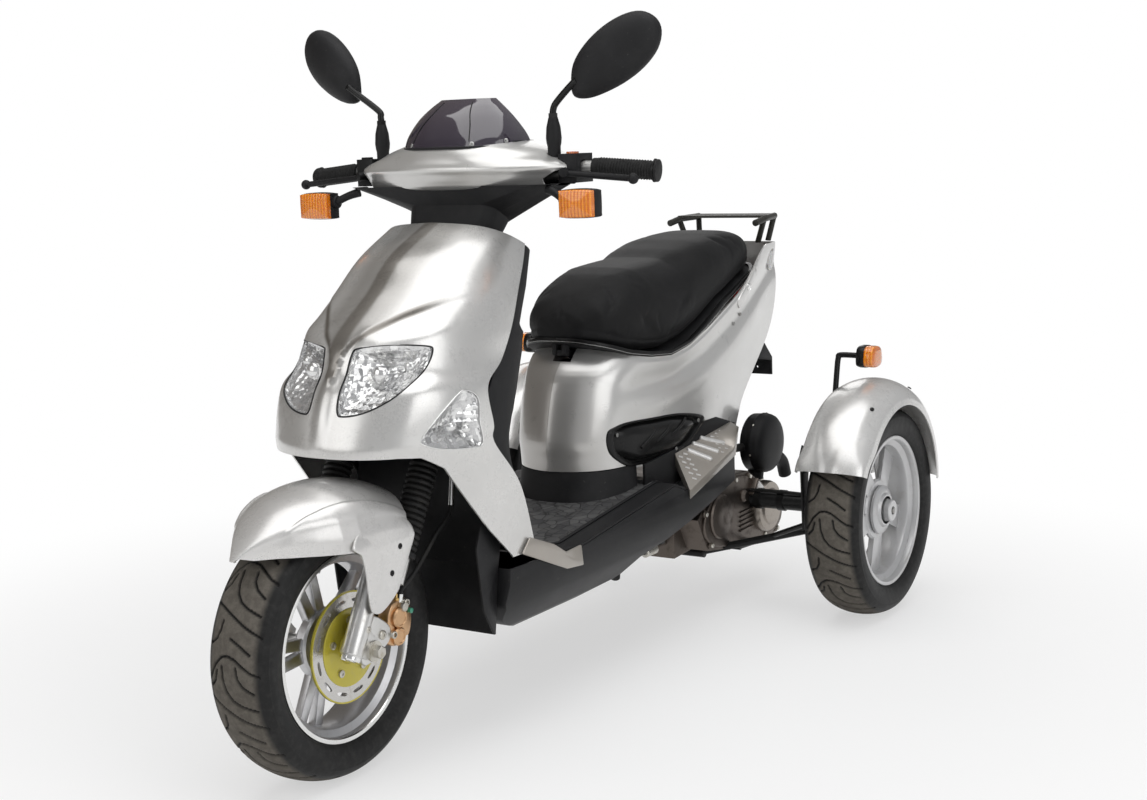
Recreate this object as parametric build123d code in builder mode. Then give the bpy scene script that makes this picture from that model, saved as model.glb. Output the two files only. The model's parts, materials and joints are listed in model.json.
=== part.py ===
from build123d import *
import math
import os

os.makedirs("parts", exist_ok=True)

# Three-wheeled motor scooter. Millimetres, +Z up, -Y forward, +X to the rider's left.
# The origin is on the floor under the middle of the outside box.

# ---- driving dimensions -------------------------------------------------------------------
wheelbase = 1380.0
rear_track = 920.0
tyre_radius = 243.0
tyre_width = 130.0
rim_seat_radius = 168.0
rim_lip_radius = 172.4
rim_lip = 4.0
rear_reach = 263.0            # rear axle to the last point of the rear fenders
rake = 29.0                   # degrees from upright
fork_offset = 50.0            # axle ahead of the steering axis
floor_half_width = 205.0
panel_wall = 4.0
running_gap = 0.3             # radial room in a plain bearing
seat_gap = 1.0                # seat base above the body edge
part_gap = 0.3                # room between pieces that meet on one body
tube_radius = 15.0            # frame tubes

front_axle_y = -(tyre_radius + wheelbase + rear_reach) / 2 + tyre_radius
rear_axle_y = front_axle_y + wheelbase
rear_wheel_x = rear_track / 2
rake_rad = math.radians(rake)


# ---- helpers --------------------------------------------------------------------------------
def save(piece, name):
    """Label a finished piece and write it."""
    piece.part.label = name
    export_step(piece.part, f"parts/{name}.step")


def side_prism(points, low_x, high_x):
    """A side-view outline (y, z) run across the scooter from low_x to high_x."""
    with BuildPart() as prism:
        with BuildSketch(Plane.YZ.offset(low_x)):
            with BuildLine():
                Polyline(*points, close=True)
            make_face()
        extrude(amount=high_x - low_x)
    return prism.part


def front_prism(points, low_y, high_y):
    """A front-view outline (x, z) run backwards from low_y to high_y."""
    with BuildPart() as prism:
        with BuildSketch(Plane(origin=(0, low_y, 0), x_dir=(-1, 0, 0), z_dir=(0, 1, 0))):
            with BuildLine():
                Polyline(*[(-x, z) for x, z in points], close=True)
            make_face()
        extrude(amount=high_y - low_y)
    return prism.part


def plan_prism(points, low_z, high_z):
    """A half plan outline (x, y), completed by symmetry and run upwards."""
    full = points + [(-x, y) for x, y in reversed(points) if x > 0]
    with BuildPart() as prism:
        with BuildSketch(Plane.XY.offset(low_z)):
            with BuildLine():
                Polyline(*full, close=True)
            make_face()
        extrude(amount=high_z - low_z)
    return prism.part


def tube_run(points, bends, radius, bore=0.0):
    """A round tube along straight runs joined by arcs."""
    with BuildPart() as run:
        with BuildLine():
            path = FilletPolyline(*points, radius=bends) if len(points) > 2 else Line(*points)
        start = Plane(origin=path @ 0, z_dir=path % 0)
        with BuildSketch(start):
            Circle(radius)
            if bore:
                Circle(bore, mode=Mode.SUBTRACT)
        sweep()
    return run.part


def rod(start, end, radius, bore=0.0):
    """A straight round bar between two points."""
    axis = Vector(*end) - Vector(*start)
    with BuildPart() as bar:
        with BuildSketch(Plane(origin=start, z_dir=axis.normalized())):
            Circle(radius)
            if bore:
                Circle(bore, mode=Mode.SUBTRACT)
        extrude(amount=axis.length)
    return bar.part


def bow_points(half_width, front, side, power=2.4, count=13):
    """A blunt bow in plan: from the right edge (-half_width, side) round to the left edge."""
    points = []
    for step in range(count):
        turn = math.pi * step / (count - 1)
        across = -math.copysign(abs(math.cos(turn)) ** (2 / power), math.cos(turn))
        points.append((across * half_width, side - (side - front) * math.sin(turn) ** (2 / power)))
    return points


def bow_loft(sections, inset=0.0, back=0.0, over=0.0, power=2.4):
    """Bow sections (height, half width, y in the middle, side y) joined into a solid."""
    heights = [section[0] for section in sections]
    with BuildPart() as body:
        for height, half_width, front, side in sections:
            level = height + over * ((height == max(heights)) - (height == min(heights)))
            way = math.copysign(1, side - front)
            with BuildSketch(Plane.XY.offset(level)):
                with BuildLine():
                    bow = Spline(*bow_points(half_width - inset, front + way * inset, side + way * back, power))
                    Line(bow @ 1, bow @ 0)
                make_face()
        loft(ruled=True)
    return body.part


# ---- steering frame -------------------------------------------------------------------------
# Local z runs up the steering axis, local y backwards, and the axle is at (0, -fork_offset, 0).
steer_origin = (
    0,
    front_axle_y + fork_offset * math.cos(rake_rad),
    tyre_radius - fork_offset * math.sin(rake_rad),
)
steer = Plane(origin=steer_origin, x_dir=(1, 0, 0), z_dir=(0, math.sin(rake_rad), math.cos(rake_rad)))


def steered(x, y, z):
    """A point of the steering frame in the scooter's frame."""
    return tuple(steer.from_local_coords(Vector(x, y, z)))


# ---- wheels -----------------------------------------------------------------------------------
axle_radius = 8.0
stub_radius = 14.0
bead_half = 50.0
tyre_skin = 9.0


def tyre(centre):
    """A tyre: crowned tread, rounded walls, hollow inside, open at the beads."""
    half = tyre_width / 2
    side = rim_seat_radius + 0.5 * (tyre_radius - rim_seat_radius)
    shoulder = tyre_radius - 17
    with BuildPart() as solid:
        with BuildSketch(Plane(origin=centre, x_dir=(1, 0, 0), z_dir=(0, -1, 0))):
            with BuildLine():
                Line((-bead_half, rim_seat_radius), (-bead_half, rim_lip_radius + 1))
                ThreePointArc((-bead_half, rim_lip_radius + 1), (-half, side), (-half + 7, shoulder))
                ThreePointArc((-half + 7, shoulder), (0, tyre_radius), (half - 7, shoulder))
                ThreePointArc((half - 7, shoulder), (half, side), (bead_half, rim_lip_radius + 1))
                Line((bead_half, rim_lip_radius + 1), (bead_half, rim_seat_radius))
                Line((bead_half, rim_seat_radius), (bead_half - 8, rim_seat_radius))
                ThreePointArc((bead_half - 8, rim_seat_radius), (half - tyre_skin, side), (half - 16, shoulder - 4))
                ThreePointArc((half - 16, shoulder - 4), (0, tyre_radius - tyre_skin), (16 - half, shoulder - 4))
                ThreePointArc((16 - half, shoulder - 4), (tyre_skin - half, side), (8 - bead_half, rim_seat_radius))
                Line((8 - bead_half, rim_seat_radius), (-bead_half, rim_seat_radius))
            make_face()
        revolve(axis=Axis(centre, (1, 0, 0)))
    return solid


def rim(centre, spokes, spoke_width, hub_radius, hub_low, hub_high, bore, dish):
    """An alloy rim: lipped barrel, hub with its bore, and flat spokes about x = dish."""
    x0, y0, z0 = centre
    barrel = [
        (-bead_half - rim_lip, rim_lip_radius), (-bead_half, rim_lip_radius), (-bead_half, rim_seat_radius),
        (-36, rim_seat_radius), (-28, 152), (28, 152), (36, rim_seat_radius), (bead_half, rim_seat_radius),
        (bead_half, rim_lip_radius), (bead_half + rim_lip, rim_lip_radius), (bead_half + rim_lip, 163),
        (38, 162), (30, 147), (-30, 147), (-38, 162), (-bead_half - rim_lip, 163),
    ]
    hub = [(hub_low, bore), (hub_high, bore), (hub_high, hub_radius), (hub_low, hub_radius)]
    profile = Plane(origin=centre, x_dir=(1, 0, 0), z_dir=(0, -1, 0))
    with BuildPart() as solid:
        with BuildSketch(profile):
            for outline in (barrel, hub):
                with BuildLine():
                    Polyline(*outline, close=True)
                make_face()
        revolve(axis=Axis(centre, (1, 0, 0)))
        with BuildSketch(Plane(origin=(x0 + dish - 9, y0, z0), x_dir=(0, 1, 0), z_dir=(1, 0, 0))):
            with PolarLocations(0, spokes):
                with Locations(((hub_radius + 146) / 2, 0)):
                    Rectangle(152 - hub_radius, spoke_width)
            Circle(148, mode=Mode.INTERSECT)
        extrude(amount=18)
        with BuildSketch(Plane(origin=(x0 + hub_low, y0, z0), x_dir=(0, 1, 0), z_dir=(1, 0, 0))):
            Circle(bore)
        extrude(amount=hub_high - hub_low, mode=Mode.SUBTRACT)
    return solid


front_centre = (0, front_axle_y, tyre_radius)
front_tyre = tyre(front_centre)
save(front_tyre, "front_tyre")
front_rim = rim(front_centre, 5, 34, 34, -52, 49, axle_radius + running_gap, -6)
save(front_rim, "front_rim")

disc_x = 53.0
disc_thickness = 4.0
disc_radius = 95.0
with BuildPart() as brake_disc:
    with BuildSketch(Plane(origin=(49, front_axle_y, tyre_radius), x_dir=(0, 1, 0), z_dir=(1, 0, 0))):
        Circle(34)
        Circle(axle_radius + running_gap, mode=Mode.SUBTRACT)
    extrude(amount=disc_x - 49)
    with BuildSketch(Plane(origin=(disc_x, front_axle_y, tyre_radius), x_dir=(0, 1, 0), z_dir=(1, 0, 0))):
        Circle(disc_radius)
        Circle(axle_radius + running_gap, mode=Mode.SUBTRACT)
        with PolarLocations(80, 10):
            SlotOverall(22, 7, rotation=60, mode=Mode.SUBTRACT)
    extrude(amount=disc_thickness)
save(brake_disc, "brake_disc")

hub_inner = -38.0
for side_name, side in (("left", 1), ("right", -1)):
    centre = (side * rear_wheel_x, rear_axle_y, tyre_radius)
    rear_tyre = tyre(centre)
    save(rear_tyre, f"rear_{side_name}_tyre")
    low, high = sorted((side * hub_inner, side * 42))
    rear_rim = rim(centre, 5, 52, 46, low, high, stub_radius + running_gap, side * 14)
    save(rear_rim, f"rear_{side_name}_rim")

# ---- fork, axle and front fender ---------------------------------------------------------------
leg_x = 98.0
boot_line = -30.0             # local y of the upper tubes
slider_line = -90.0           # local y of the lower tubes
slider_radius = 19.0
stanchion_radius = 15.0
stem_radius = 16.0
clamp_low = 452.0
clamp_high = 470.0
head_low = 474.0
head_high = 650.0
stem_top = 905.0
bracket_low = 128.0
bracket_high = 178.0
lug = [
    steered(0, slider_line - 8, -20), steered(0, slider_line - 8, 40),
    steered(0, 12 - fork_offset, 18), steered(0, 12 - fork_offset, -16),
]
with BuildPart() as fork:
    for side in (-1, 1):
        slider_foot = steered(side * leg_x, slider_line, -22)
        add(rod(slider_foot, steered(side * leg_x, slider_line, bracket_high), slider_radius))
        tube_foot = steered(side * leg_x, boot_line, bracket_low)
        add(rod(tube_foot, steered(side * leg_x, boot_line, clamp_high), stanchion_radius))
        bracket = Plane(origin=steered(side * leg_x, 0, bracket_low), x_dir=(1, 0, 0), z_dir=steer.z_dir)
        with BuildSketch(bracket):
            with Locations((0, (boot_line + slider_line) / 2)):
                RectangleRounded(2 * slider_radius, 94, 14)
        extrude(amount=bracket_high - bracket_low)
        add(side_prism([(p[1], p[2]) for p in lug], side * leg_x - 14, side * leg_x + 14))
    with BuildSketch(Plane(origin=steered(0, 0, clamp_low), x_dir=(1, 0, 0), z_dir=steer.z_dir)):
        with Locations((0, boot_line / 2)):
            RectangleRounded(2 * leg_x + 54, 62, 24)
    extrude(amount=clamp_high - clamp_low)
    add(rod(steered(0, 0, clamp_low), steered(0, 0, stem_top), stem_radius))
    axle_reach = leg_x + 22
    axle_start = (-axle_reach, front_axle_y, tyre_radius)
    add(rod(axle_start, (axle_reach, front_axle_y, tyre_radius), axle_radius))
save(fork, "fork")

boot_low = bracket_high + part_gap
boot_high = clamp_low - part_gap
boot_radius = 27.0
with BuildPart() as fork_boots:
    for side in (-1, 1):
        foot = steered(side * leg_x, boot_line, boot_low)
        top = steered(side * leg_x, boot_line, boot_high)
        add(rod(foot, top, boot_radius, stanchion_radius + part_gap))
save(fork_boots, "fork_boots")

fender_radius = 302.0
fender_half = 122.0
fender_wall = 3.0


def fender_arc(centre, radius, half, drop, wall, first, last):
    """A domed fender: an arched strip turned about the wheel from first to last degrees."""
    turn = math.radians(first)
    outward = (0, -math.cos(turn), math.sin(turn))
    with BuildPart() as arc:
        start = Plane(origin=centre, x_dir=(1, 0, 0), z_dir=(0, -outward[2], outward[1]))
        with BuildSketch(start):
            with BuildLine():
                ThreePointArc((-half, radius - drop), (0, radius), (half, radius - drop))
                Line((half, radius - drop), (half - wall, radius - drop))
                ThreePointArc((half - wall, radius - drop), (0, radius - wall), (wall - half, radius - drop))
                Line((wall - half, radius - drop), (-half, radius - drop))
            make_face()
        revolve(axis=Axis(centre, (-1, 0, 0)), revolution_arc=last - first)
    return arc.part


fender_plan = [
    (0, -930), (60, -890), (96, -800), (fender_half, -700), (fender_half, -480),
    (-fender_half, -480), (-fender_half, -700), (-96, -800), (-60, -890),
]
leg_plate_x = 131.0
web_angles = [math.radians(a) for a in (82, 90, 98, 106, 114, 121)]
leg_web = [
    (front_axle_y - r * math.cos(a), tyre_radius + r * math.sin(a))
    for r, angles in ((251, web_angles), (246, web_angles[::-1])) for a in angles
]
fender_leg = [
    (-668, 491), (-631, 484), (-580, 474), (-530, 478), (-505, 430), (-560, 330), (-600, 300), (-625, 330),
    (-640, 420),
]
with BuildPart() as front_fender:
    add(fender_arc(front_centre, fender_radius, fender_half, 52, fender_wall, 42, 122))
    with BuildSketch(Plane.XY.offset(300)):
        with BuildLine():
            Polyline(*fender_plan, close=True)
        make_face()
    extrude(amount=400, mode=Mode.INTERSECT)
    for side in (-1, 1):
        inner, outer = sorted((side * (fender_half - fender_wall), side * leg_plate_x))
        add(side_prism(leg_web, inner, outer))
        tube_ends = [steered(side * leg_x, boot_line, height) for height in (bracket_high - 60, 420)]
        add(rod(*tube_ends, boot_radius + 2), mode=Mode.SUBTRACT)
        inner, outer = sorted((side * (leg_plate_x - fender_wall), side * leg_plate_x))
        add(side_prism(fender_leg, inner, outer))
        boss = steered(0, (boot_line + slider_line) / 2, (bracket_low + bracket_high) / 2)
        boss_root = side * (leg_x + slider_radius + part_gap)
        add(rod((boss_root, boss[1], boss[2]), (side * leg_plate_x, boss[1], boss[2]), 12))
save(front_fender, "front_fender")

caliper_mid_y = front_axle_y + 118.0
caliper_mid_z = tyre_radius + 20.0
with BuildPart() as brake_caliper:
    caliper_low = disc_x - 13
    with BuildSketch(Plane(origin=(caliper_low, caliper_mid_y, caliper_mid_z), x_dir=(0, 1, 0), z_dir=(1, 0, 0))):
        RectangleRounded(50, 68, 10)
    extrude(amount=52)
    with BuildSketch(Plane(origin=(disc_x - 6, front_axle_y, tyre_radius), x_dir=(0, 1, 0), z_dir=(1, 0, 0))):
        Circle(disc_radius + 6)
    extrude(amount=disc_thickness + 12, mode=Mode.SUBTRACT)
    bridge = [(-660, 262), (-600, 292), (-600, 240), (-650, 212)]
    add(side_prism(bridge, disc_x + 14, leg_x + 6))
    add(fork.part, mode=Mode.SUBTRACT)
save(brake_caliper, "brake_caliper")

# ---- handlebar and its covers --------------------------------------------------------------------
bar_radius = 11.0
bar_height = 917.0            # local z of the bar's middle
neck_low = 823.0              # local z of the lower cover's rim, clear above the front shield
cover_wall = 3.0
cover_seam = 1034.0
bar_mid = steered(0, 0, bar_height)
bar_end = (404.0, -168.0, 1052.0)
bar_bend = (262.0, -194.0, 1064.0)
bar_rise = (96.0, bar_mid[1], bar_mid[2])
bar_points = [(-x, y, z) for x, y, z in (bar_end, bar_bend, bar_rise)] + [bar_rise, bar_bend, bar_end]
with BuildPart() as handlebar:
    add(tube_run(bar_points, 60, bar_radius, 8.5))
    add(rod(steered(0, 0, stem_top), steered(0, 0, bar_height + 14), 22))
save(handlebar, "handlebar")

grip_run = Vector(*bar_end) - Vector(*bar_bend)
with BuildPart() as grips:
    for side in (-1, 1):
        near = Vector(*bar_bend) + grip_run * 0.14
        ends = [(side * p.X, p.Y, p.Z) for p in (near, Vector(*bar_end))]
        add(rod(ends[0], ends[1], 16.5, bar_radius + part_gap))
        way = (Vector(*ends[1]) - Vector(*ends[0])).normalized()
        cap = Vector(*ends[1]) + way * 5
        add(rod(ends[1], tuple(cap), 21))
save(grips, "grips")

box_mid = (243.0, -192.0, 1061.0)
box_size = (40.0, 58.0, 54.0)
lever_start = (246.0, -228.0, 1052.0)
lever_end = (392.0, -232.0, 1040.0)
with BuildPart() as hand_controls:
    with Locations(box_mid):
        Box(*box_size)
    add(rod((238, -222, 1054), (lever_start[0], -240, 1054), 9))
    add(rod(lever_start, lever_end, 6))
    with Locations(lever_end):
        Sphere(10)
    add(rod(bar_rise, bar_bend, bar_radius + 1.5), mode=Mode.SUBTRACT)
    add(rod(bar_bend, bar_end, bar_radius + 1.5), mode=Mode.SUBTRACT)
    with Locations(bar_bend):
        Sphere(bar_radius + 1.5, mode=Mode.SUBTRACT)
    mirror(about=Plane.YZ)
save(hand_controls, "hand_controls")

cover_rows = [
    (cover_seam + part_gap, 244, -300, -160), (1066, 250, -314, -165), (1112, 134, -296, -160),
]
mirror_post = (206.0, -206.0)
with BuildPart() as control_room:
    add(tube_run(bar_points, 60, bar_radius + 2))
    add(rod(steered(0, 0, 800), steered(0, 0, bar_height + 16), 25))
    for side in (-1, 1):
        with Locations((side * (box_mid[0] + 20), box_mid[1] + 10, box_mid[2] - 8)):
            Box(box_size[0] + 46, box_size[1] + 44, box_size[2] + 24)
with BuildPart() as handlebar_cover:
    add(bow_loft(cover_rows))
    inner_rows = cover_rows[:2] + [(1112 - cover_wall, 134, -296, -160)]
    add(bow_loft([(z - (z < 1040), w, f, s) for z, w, f, s in inner_rows], cover_wall, -cover_wall), mode=Mode.SUBTRACT)
    add(control_room.part, mode=Mode.SUBTRACT)
    for side in (-1, 1):
        add(rod((side * mirror_post[0], mirror_post[1], 1050), (side * mirror_post[0], mirror_post[1], 1160), 11 + part_gap),
            mode=Mode.SUBTRACT)
save(handlebar_cover, "handlebar_cover")


def neck_shell(inset, over):
    """The lower cover's outline: an upright neck that spreads into a wide tray."""
    with BuildPart() as body:
        rows = ((neck_low - over, 190, 74), (neck_low + 44, 206, 84))
        for height, width, depth in rows:
            with BuildSketch(Plane(origin=steered(0, 0, height), x_dir=(1, 0, 0), z_dir=steer.z_dir)):
                RectangleRounded(width - 2 * inset, depth - 2 * inset, 30 - inset)
        with BuildSketch(Plane.XY.offset(cover_seam + over)):
            with Locations((0, -228)):
                RectangleRounded(470 - 2 * inset, 128 - 2 * inset, 30 - inset)
        loft(ruled=True)
    return body.part


with BuildPart() as lower_cover:
    add(neck_shell(0, 0))
    add(neck_shell(cover_wall, 1), mode=Mode.SUBTRACT)
    add(control_room.part, mode=Mode.SUBTRACT)
save(lower_cover, "lower_cover")

screen_rows = [(1112 + part_gap, 126, -288, -186), (1160, 100, -256, -190), (1198, 66, -216, -184)]
with BuildPart() as windscreen:
    add(bow_loft(screen_rows))
    add(bow_loft(screen_rows, inset=3.0, back=2, over=1), mode=Mode.SUBTRACT)
save(windscreen, "windscreen")

mirror_sweep = math.radians(16)
mirror_tilt = 32.0
mirror_centres = {-1: (-352.0, -176.0, 1277.0), 1: (326.0, -176.0, 1265.0)}
with BuildPart() as mirrors:
    for side in (-1, 1):
        along = (math.cos(mirror_sweep), side * math.sin(mirror_sweep), 0)
        middle = mirror_centres[side]
        with BuildSketch(Plane(origin=middle, x_dir=along, z_dir=(-along[1], along[0], 0))):
            Ellipse(102, 54, rotation=-side * mirror_tilt)
        extrude(amount=13, both=True)
        knee = (side * 218, -204, 1178)
        post = (side * mirror_post[0], mirror_post[1])
        add(rod((*post, 1064), (*post, 1154), 11))
        add(rod((*post, 1150), knee, 7))
        add(rod(knee, (middle[0] - side * 44, middle[1] - 8, middle[2] - 27), 7))
save(mirrors, "mirrors")

signal_centre = (311.0, -288.0, 999.0)
with BuildPart() as front_signals:
    for side in (-1, 1):
        middle = (side * signal_centre[0], signal_centre[1], signal_centre[2])
        with Locations(middle):
            Box(70, 42, 50)
        add(rod((side * 226, -262, 1024), (side * 280, -284, 1004), 8))
    add(lower_cover.part, mode=Mode.SUBTRACT)
    add(handlebar_cover.part, mode=Mode.SUBTRACT)
save(front_signals, "front_signals")

hose_points = [
    (84, -588, 292), (86, -584, 320), (100, -556, 352), (104, -500, 404), (104, -446, 452),
    steered(102, 24, 436), steered(102, 22, 474), steered(92, -4, 524), steered(78, -8, 580),
    steered(60, -10, 700), steered(46, 26, 812),
]
with BuildPart() as brake_hose:
    add(tube_run(hose_points, 12, 4))
    add(brake_caliper.part, mode=Mode.SUBTRACT)
save(brake_hose, "brake_hose")

# ---- front bodywork -----------------------------------------------------------------------------
# Rows of the nose: height, half width, y at the middle of the bow, y at the side edge.
nose_rows = [
    (350, 204, -690, -318), (480, 198, -690, -352), (575, 203, -690, -436), (610, 206, -684, -440),
    (680, 201, -660, -446), (719, 190, -634, -386), (775, 187, -604, -344), (843, 180, -508, -306),
    (905, 162, -436, -256), (962, 140, -318, -216),
]
shield_top = 815.0            # local z of the shield's top edge
arch = [
    (-760, 300), (-760, 576), (-606, 576), (-560, 548), (-512, 490), (-450, 412), (-392, 352), (-392, 300),
]
lamp_outline = [(42, 762), (148, 748), (136, 700), (54, 648), (24, 650), (32, 690)]
side_lamp_outline = [(-604, 604), (-566, 584), (-478, 574), (-464, 616), (-484, 672), (-500, 684), (-540, 652)]
trim_plane = Plane(origin=steered(0, 0, shield_top), x_dir=(1, 0, 0), z_dir=steer.z_dir)


def grown(outline, amount):
    """An outline moved outwards from its middle by about amount."""
    mid_a = sum(p[0] for p in outline) / len(outline)
    mid_b = sum(p[1] for p in outline) / len(outline)
    moved = []
    for a, b in outline:
        reach = math.hypot(a - mid_a, b - mid_b)
        moved.append((a + (a - mid_a) * amount / reach, b + (b - mid_b) * amount / reach))
    return moved


with BuildPart() as nose_solid:
    add(bow_loft(nose_rows))
    split(bisect_by=trim_plane, keep=Keep.BOTTOM)

with BuildPart() as front_shield:
    add(nose_solid.part)
    add(bow_loft(nose_rows, panel_wall, 1, 1), mode=Mode.SUBTRACT)
    add(side_prism(arch, -300, 300), mode=Mode.SUBTRACT)
    for side in (-1, 1):
        lamp_hole = [(side * x, z) for x, z in grown(lamp_outline, part_gap)]
        add(front_prism(lamp_hole, -720, -430), mode=Mode.SUBTRACT)
        low, high = sorted((side * 90, side * 260))
        add(side_prism(grown(side_lamp_outline, part_gap), low, high), mode=Mode.SUBTRACT)
save(front_shield, "front_shield")

with BuildPart() as headlights:
    for side in (-1, 1):
        add(front_prism([(side * x, z) for x, z in lamp_outline], -700, -440))
    add(nose_solid.part, mode=Mode.INTERSECT)
    add(bow_loft(nose_rows, 24, 1, 1), mode=Mode.SUBTRACT)
save(headlights, "headlights")

with BuildPart() as side_lamps:
    for side in (-1, 1):
        low, high = sorted((side * 100, side * 250))
        add(side_prism(side_lamp_outline, low, high))
    add(nose_solid.part, mode=Mode.INTERSECT)
    add(bow_loft(nose_rows, 20, 1, 1), mode=Mode.SUBTRACT)
save(side_lamps, "side_lamps")

# ---- inner panels behind the front wheel and in front of the rider --------------------------------
well_half = 176.0
well_line = [(-426, 206), (-408, 330), (-366, 520)]
with BuildPart() as wheel_well:
    outline = well_line + [(y + panel_wall, z) for y, z in reversed(well_line)]
    add(side_prism(outline, -well_half, well_half))
    for side in (-1, 1):
        low, high = sorted((side * well_half, side * (well_half - panel_wall)))
        wing = [(-426, 206), (-408, 330), (-392, 404), (-452, 420), (-470, 380), (-456, 260)]
        add(side_prism(wing, low, high))
save(wheel_well, "wheel_well")

# Rows of the panel: height, half width, y at the middle, y where it meets the front shield.
knee_rows = [
    (338, 192, -306, -330), (480, 190, -316, -364), (575, 192, -312, -430), (622, 194, -284, -440),
    (656, 192, -262, -440), (724, 186, -240, -388), (759, 184, -240, -360), (776, 180, -258, -344),
    (843, 172, -218, -310), (905, 156, -184, -262), (935, 148, -168, -240),
]
with BuildPart() as inner_leg_shield:
    add(bow_loft(knee_rows, power=3.4))
    add(bow_loft(knee_rows, panel_wall, 1, 1, power=3.4), mode=Mode.SUBTRACT)
    split(bisect_by=trim_plane, keep=Keep.BOTTOM)
    add(front_shield.part, mode=Mode.SUBTRACT)
save(inner_leg_shield, "inner_leg_shield")

# ---- floor, sills and belly ------------------------------------------------------------------------
floor_line = [(-312, 334), (-170, 322), (9, 345), (220, 370), (268, 352)]
floor_skin = 5.0
base_rows = [(318, 150, 22, 150), (350, 134, 34, 180), (414.5, 128, 42, 190)]
with BuildPart() as floorboard:
    outline = floor_line + [(y, z - floor_skin) for y, z in reversed(floor_line)]
    add(side_prism(outline, -floor_half_width, floor_half_width))
    add(bow_loft(base_rows, over=0))
    add(bow_loft(base_rows, panel_wall, 1, 30), mode=Mode.SUBTRACT)
save(floorboard, "floorboard")

belly_side = [
    (-406, 330), (-415, 262), (-398, 226), (-360, 204), (-290, 180), (-57, 178), (60, 205), (110, 232), (295, 271),
    (496, 325), (590, 378), (610, 400), (500, 398), (300, 346), (268, 345), (220, 364), (9, 339), (-170, 316),
    (-312, 328),
]
belly_front = [
    (205, 430), (205, 300), (194, 252), (156, 200), (110, 172), (-110, 172), (-156, 200), (-194, 252),
    (-205, 300), (-205, 430),
]
belly_room = [
    (201, 431), (201, 300), (190, 255), (153, 205), (108, 176), (-108, 176), (-153, 205), (-190, 255),
    (-201, 300), (-201, 431),
]
belly_inside = [(-402, 430), (-408, 262), (-394, 230), (-357, 208), (-289, 184), (-57, 182), (60, 209), (106, 232), (106, 430)]
sill_room = [(201, 431), (201, 300), (190, 262), (160, 262), (160, 431)]
with BuildPart() as belly_pan:
    add(side_prism(belly_side, -floor_half_width, floor_half_width))
    add(front_prism(belly_front, -450, 650), mode=Mode.INTERSECT)
    with BuildPart(mode=Mode.PRIVATE) as room:
        add(side_prism(belly_inside, -210, 210))
        add(front_prism(belly_room, -500, 150), mode=Mode.INTERSECT)
    add(room.part, mode=Mode.SUBTRACT)
    for side in (-1, 1):
        add(front_prism([(side * x, z) for x, z in sill_room], 104, 700), mode=Mode.SUBTRACT)
    add(front_prism([(152, 460), (152, 150), (-152, 150), (-152, 460)], 104, 700), mode=Mode.SUBTRACT)
    add(wheel_well.part, mode=Mode.SUBTRACT)
    add(front_shield.part, mode=Mode.SUBTRACT)
    add(floorboard.part, mode=Mode.SUBTRACT)
    add(plan_prism([(0, -450), (206, -450), (206, 498), (150, 604), (0, 604)], 100, 500), mode=Mode.INTERSECT)
save(belly_pan, "belly_pan")

trim_outline = [(-372, 352), (-344, 378), (-262, 346), (-222, 322), (-168, 324), (-162, 281), (-220, 287), (-300, 322)]
with BuildPart() as floor_trims:
    for side in (-1, 1):
        low, high = sorted((side * (floor_half_width + part_gap), side * (floor_half_width + 6)))
        add(side_prism(trim_outline, low, high))
save(floor_trims, "floor_trims")

# ---- seat line and body sides ------------------------------------------------------------------------
# Rows of the body: height, front y, half width in front, half width at the middle, rear y, half width behind.
body_rows = [
    (380, 44, 126, 142, 690, 100), (440, 40, 128, 148, 712, 104), (490, 40, 130, 152, 742, 106),
    (600, 72, 134, 156, 850, 110), (665, 128, 138, 156, 893, 112), (740, 190, 140, 156, 914, 112),
    (842, 300, 140, 150, 918, 110),
]
tail_bulge = 18.0
seat_line = [
    (90, 694), (104, 687), (182, 660), (250, 648), (320, 643), (400, 657), (480, 686), (571, 726), (700, 766),
    (800, 790), (836, 800),
]
base_skin = 8.0


def body_loft(rows, inset=0.0, over=0.0):
    """The body sides as one solid, with a round front and a bowed tail."""
    heights = [row[0] for row in rows]
    with BuildPart() as body:
        for height, front, half_front, half_middle, rear, half_rear in rows:
            level = height + over * ((height == max(heights)) - (height == min(heights)))
            side = [
                (half_rear - inset, rear - inset), (half_middle - inset, front + 0.62 * (rear - front)),
                (half_front - inset, front + 1.15 * half_front),
                (0.74 * (half_front - inset), front + 0.33 * half_front + inset / 2),
            ]
            with BuildSketch(Plane.XY.offset(level)):
                with BuildLine():
                    Spline(*side, (0, front + inset), *[(-x, y) for x, y in reversed(side)])
                    ThreePointArc((-side[0][0], side[0][1]), (0, side[0][1] + tail_bulge), side[0])
                make_face()
        loft(ruled=True)
    return body.part


below = [
    (-40, 300), (-40, 415), (100, 417), (215, 416), (376, 430), (452, 468), (520, 466), (612, 438), (712, 398),
    (760, 398), (760, 300),
]
above = [(y, z - base_skin - seat_gap) for y, z in seat_line]
above = [(-40, 1000), (-40, above[0][1])] + above + [(838, 1000)]
vent_outline = [
    (100, 497), (118, 506), (156, 511), (243, 508), (337, 503), (447, 483), (452, 469), (387, 429), (323, 414),
    (243, 409), (197, 410), (154, 415), (106, 445), (96, 474),
]
tail_lamp = [(88, 700), (88, 752), (-88, 752), (-88, 700)]
with BuildPart() as body_shell:
    add(body_loft(body_rows))
    inner_rows = body_rows[:-1] + [(842 - panel_wall,) + body_rows[-1][1:]]
    add(body_loft([(z - (z < 400), *rest) for z, *rest in inner_rows], panel_wall), mode=Mode.SUBTRACT)
    add(side_prism(below, -200, 200), mode=Mode.SUBTRACT)
    add(side_prism(above, -200, 200), mode=Mode.SUBTRACT)

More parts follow.
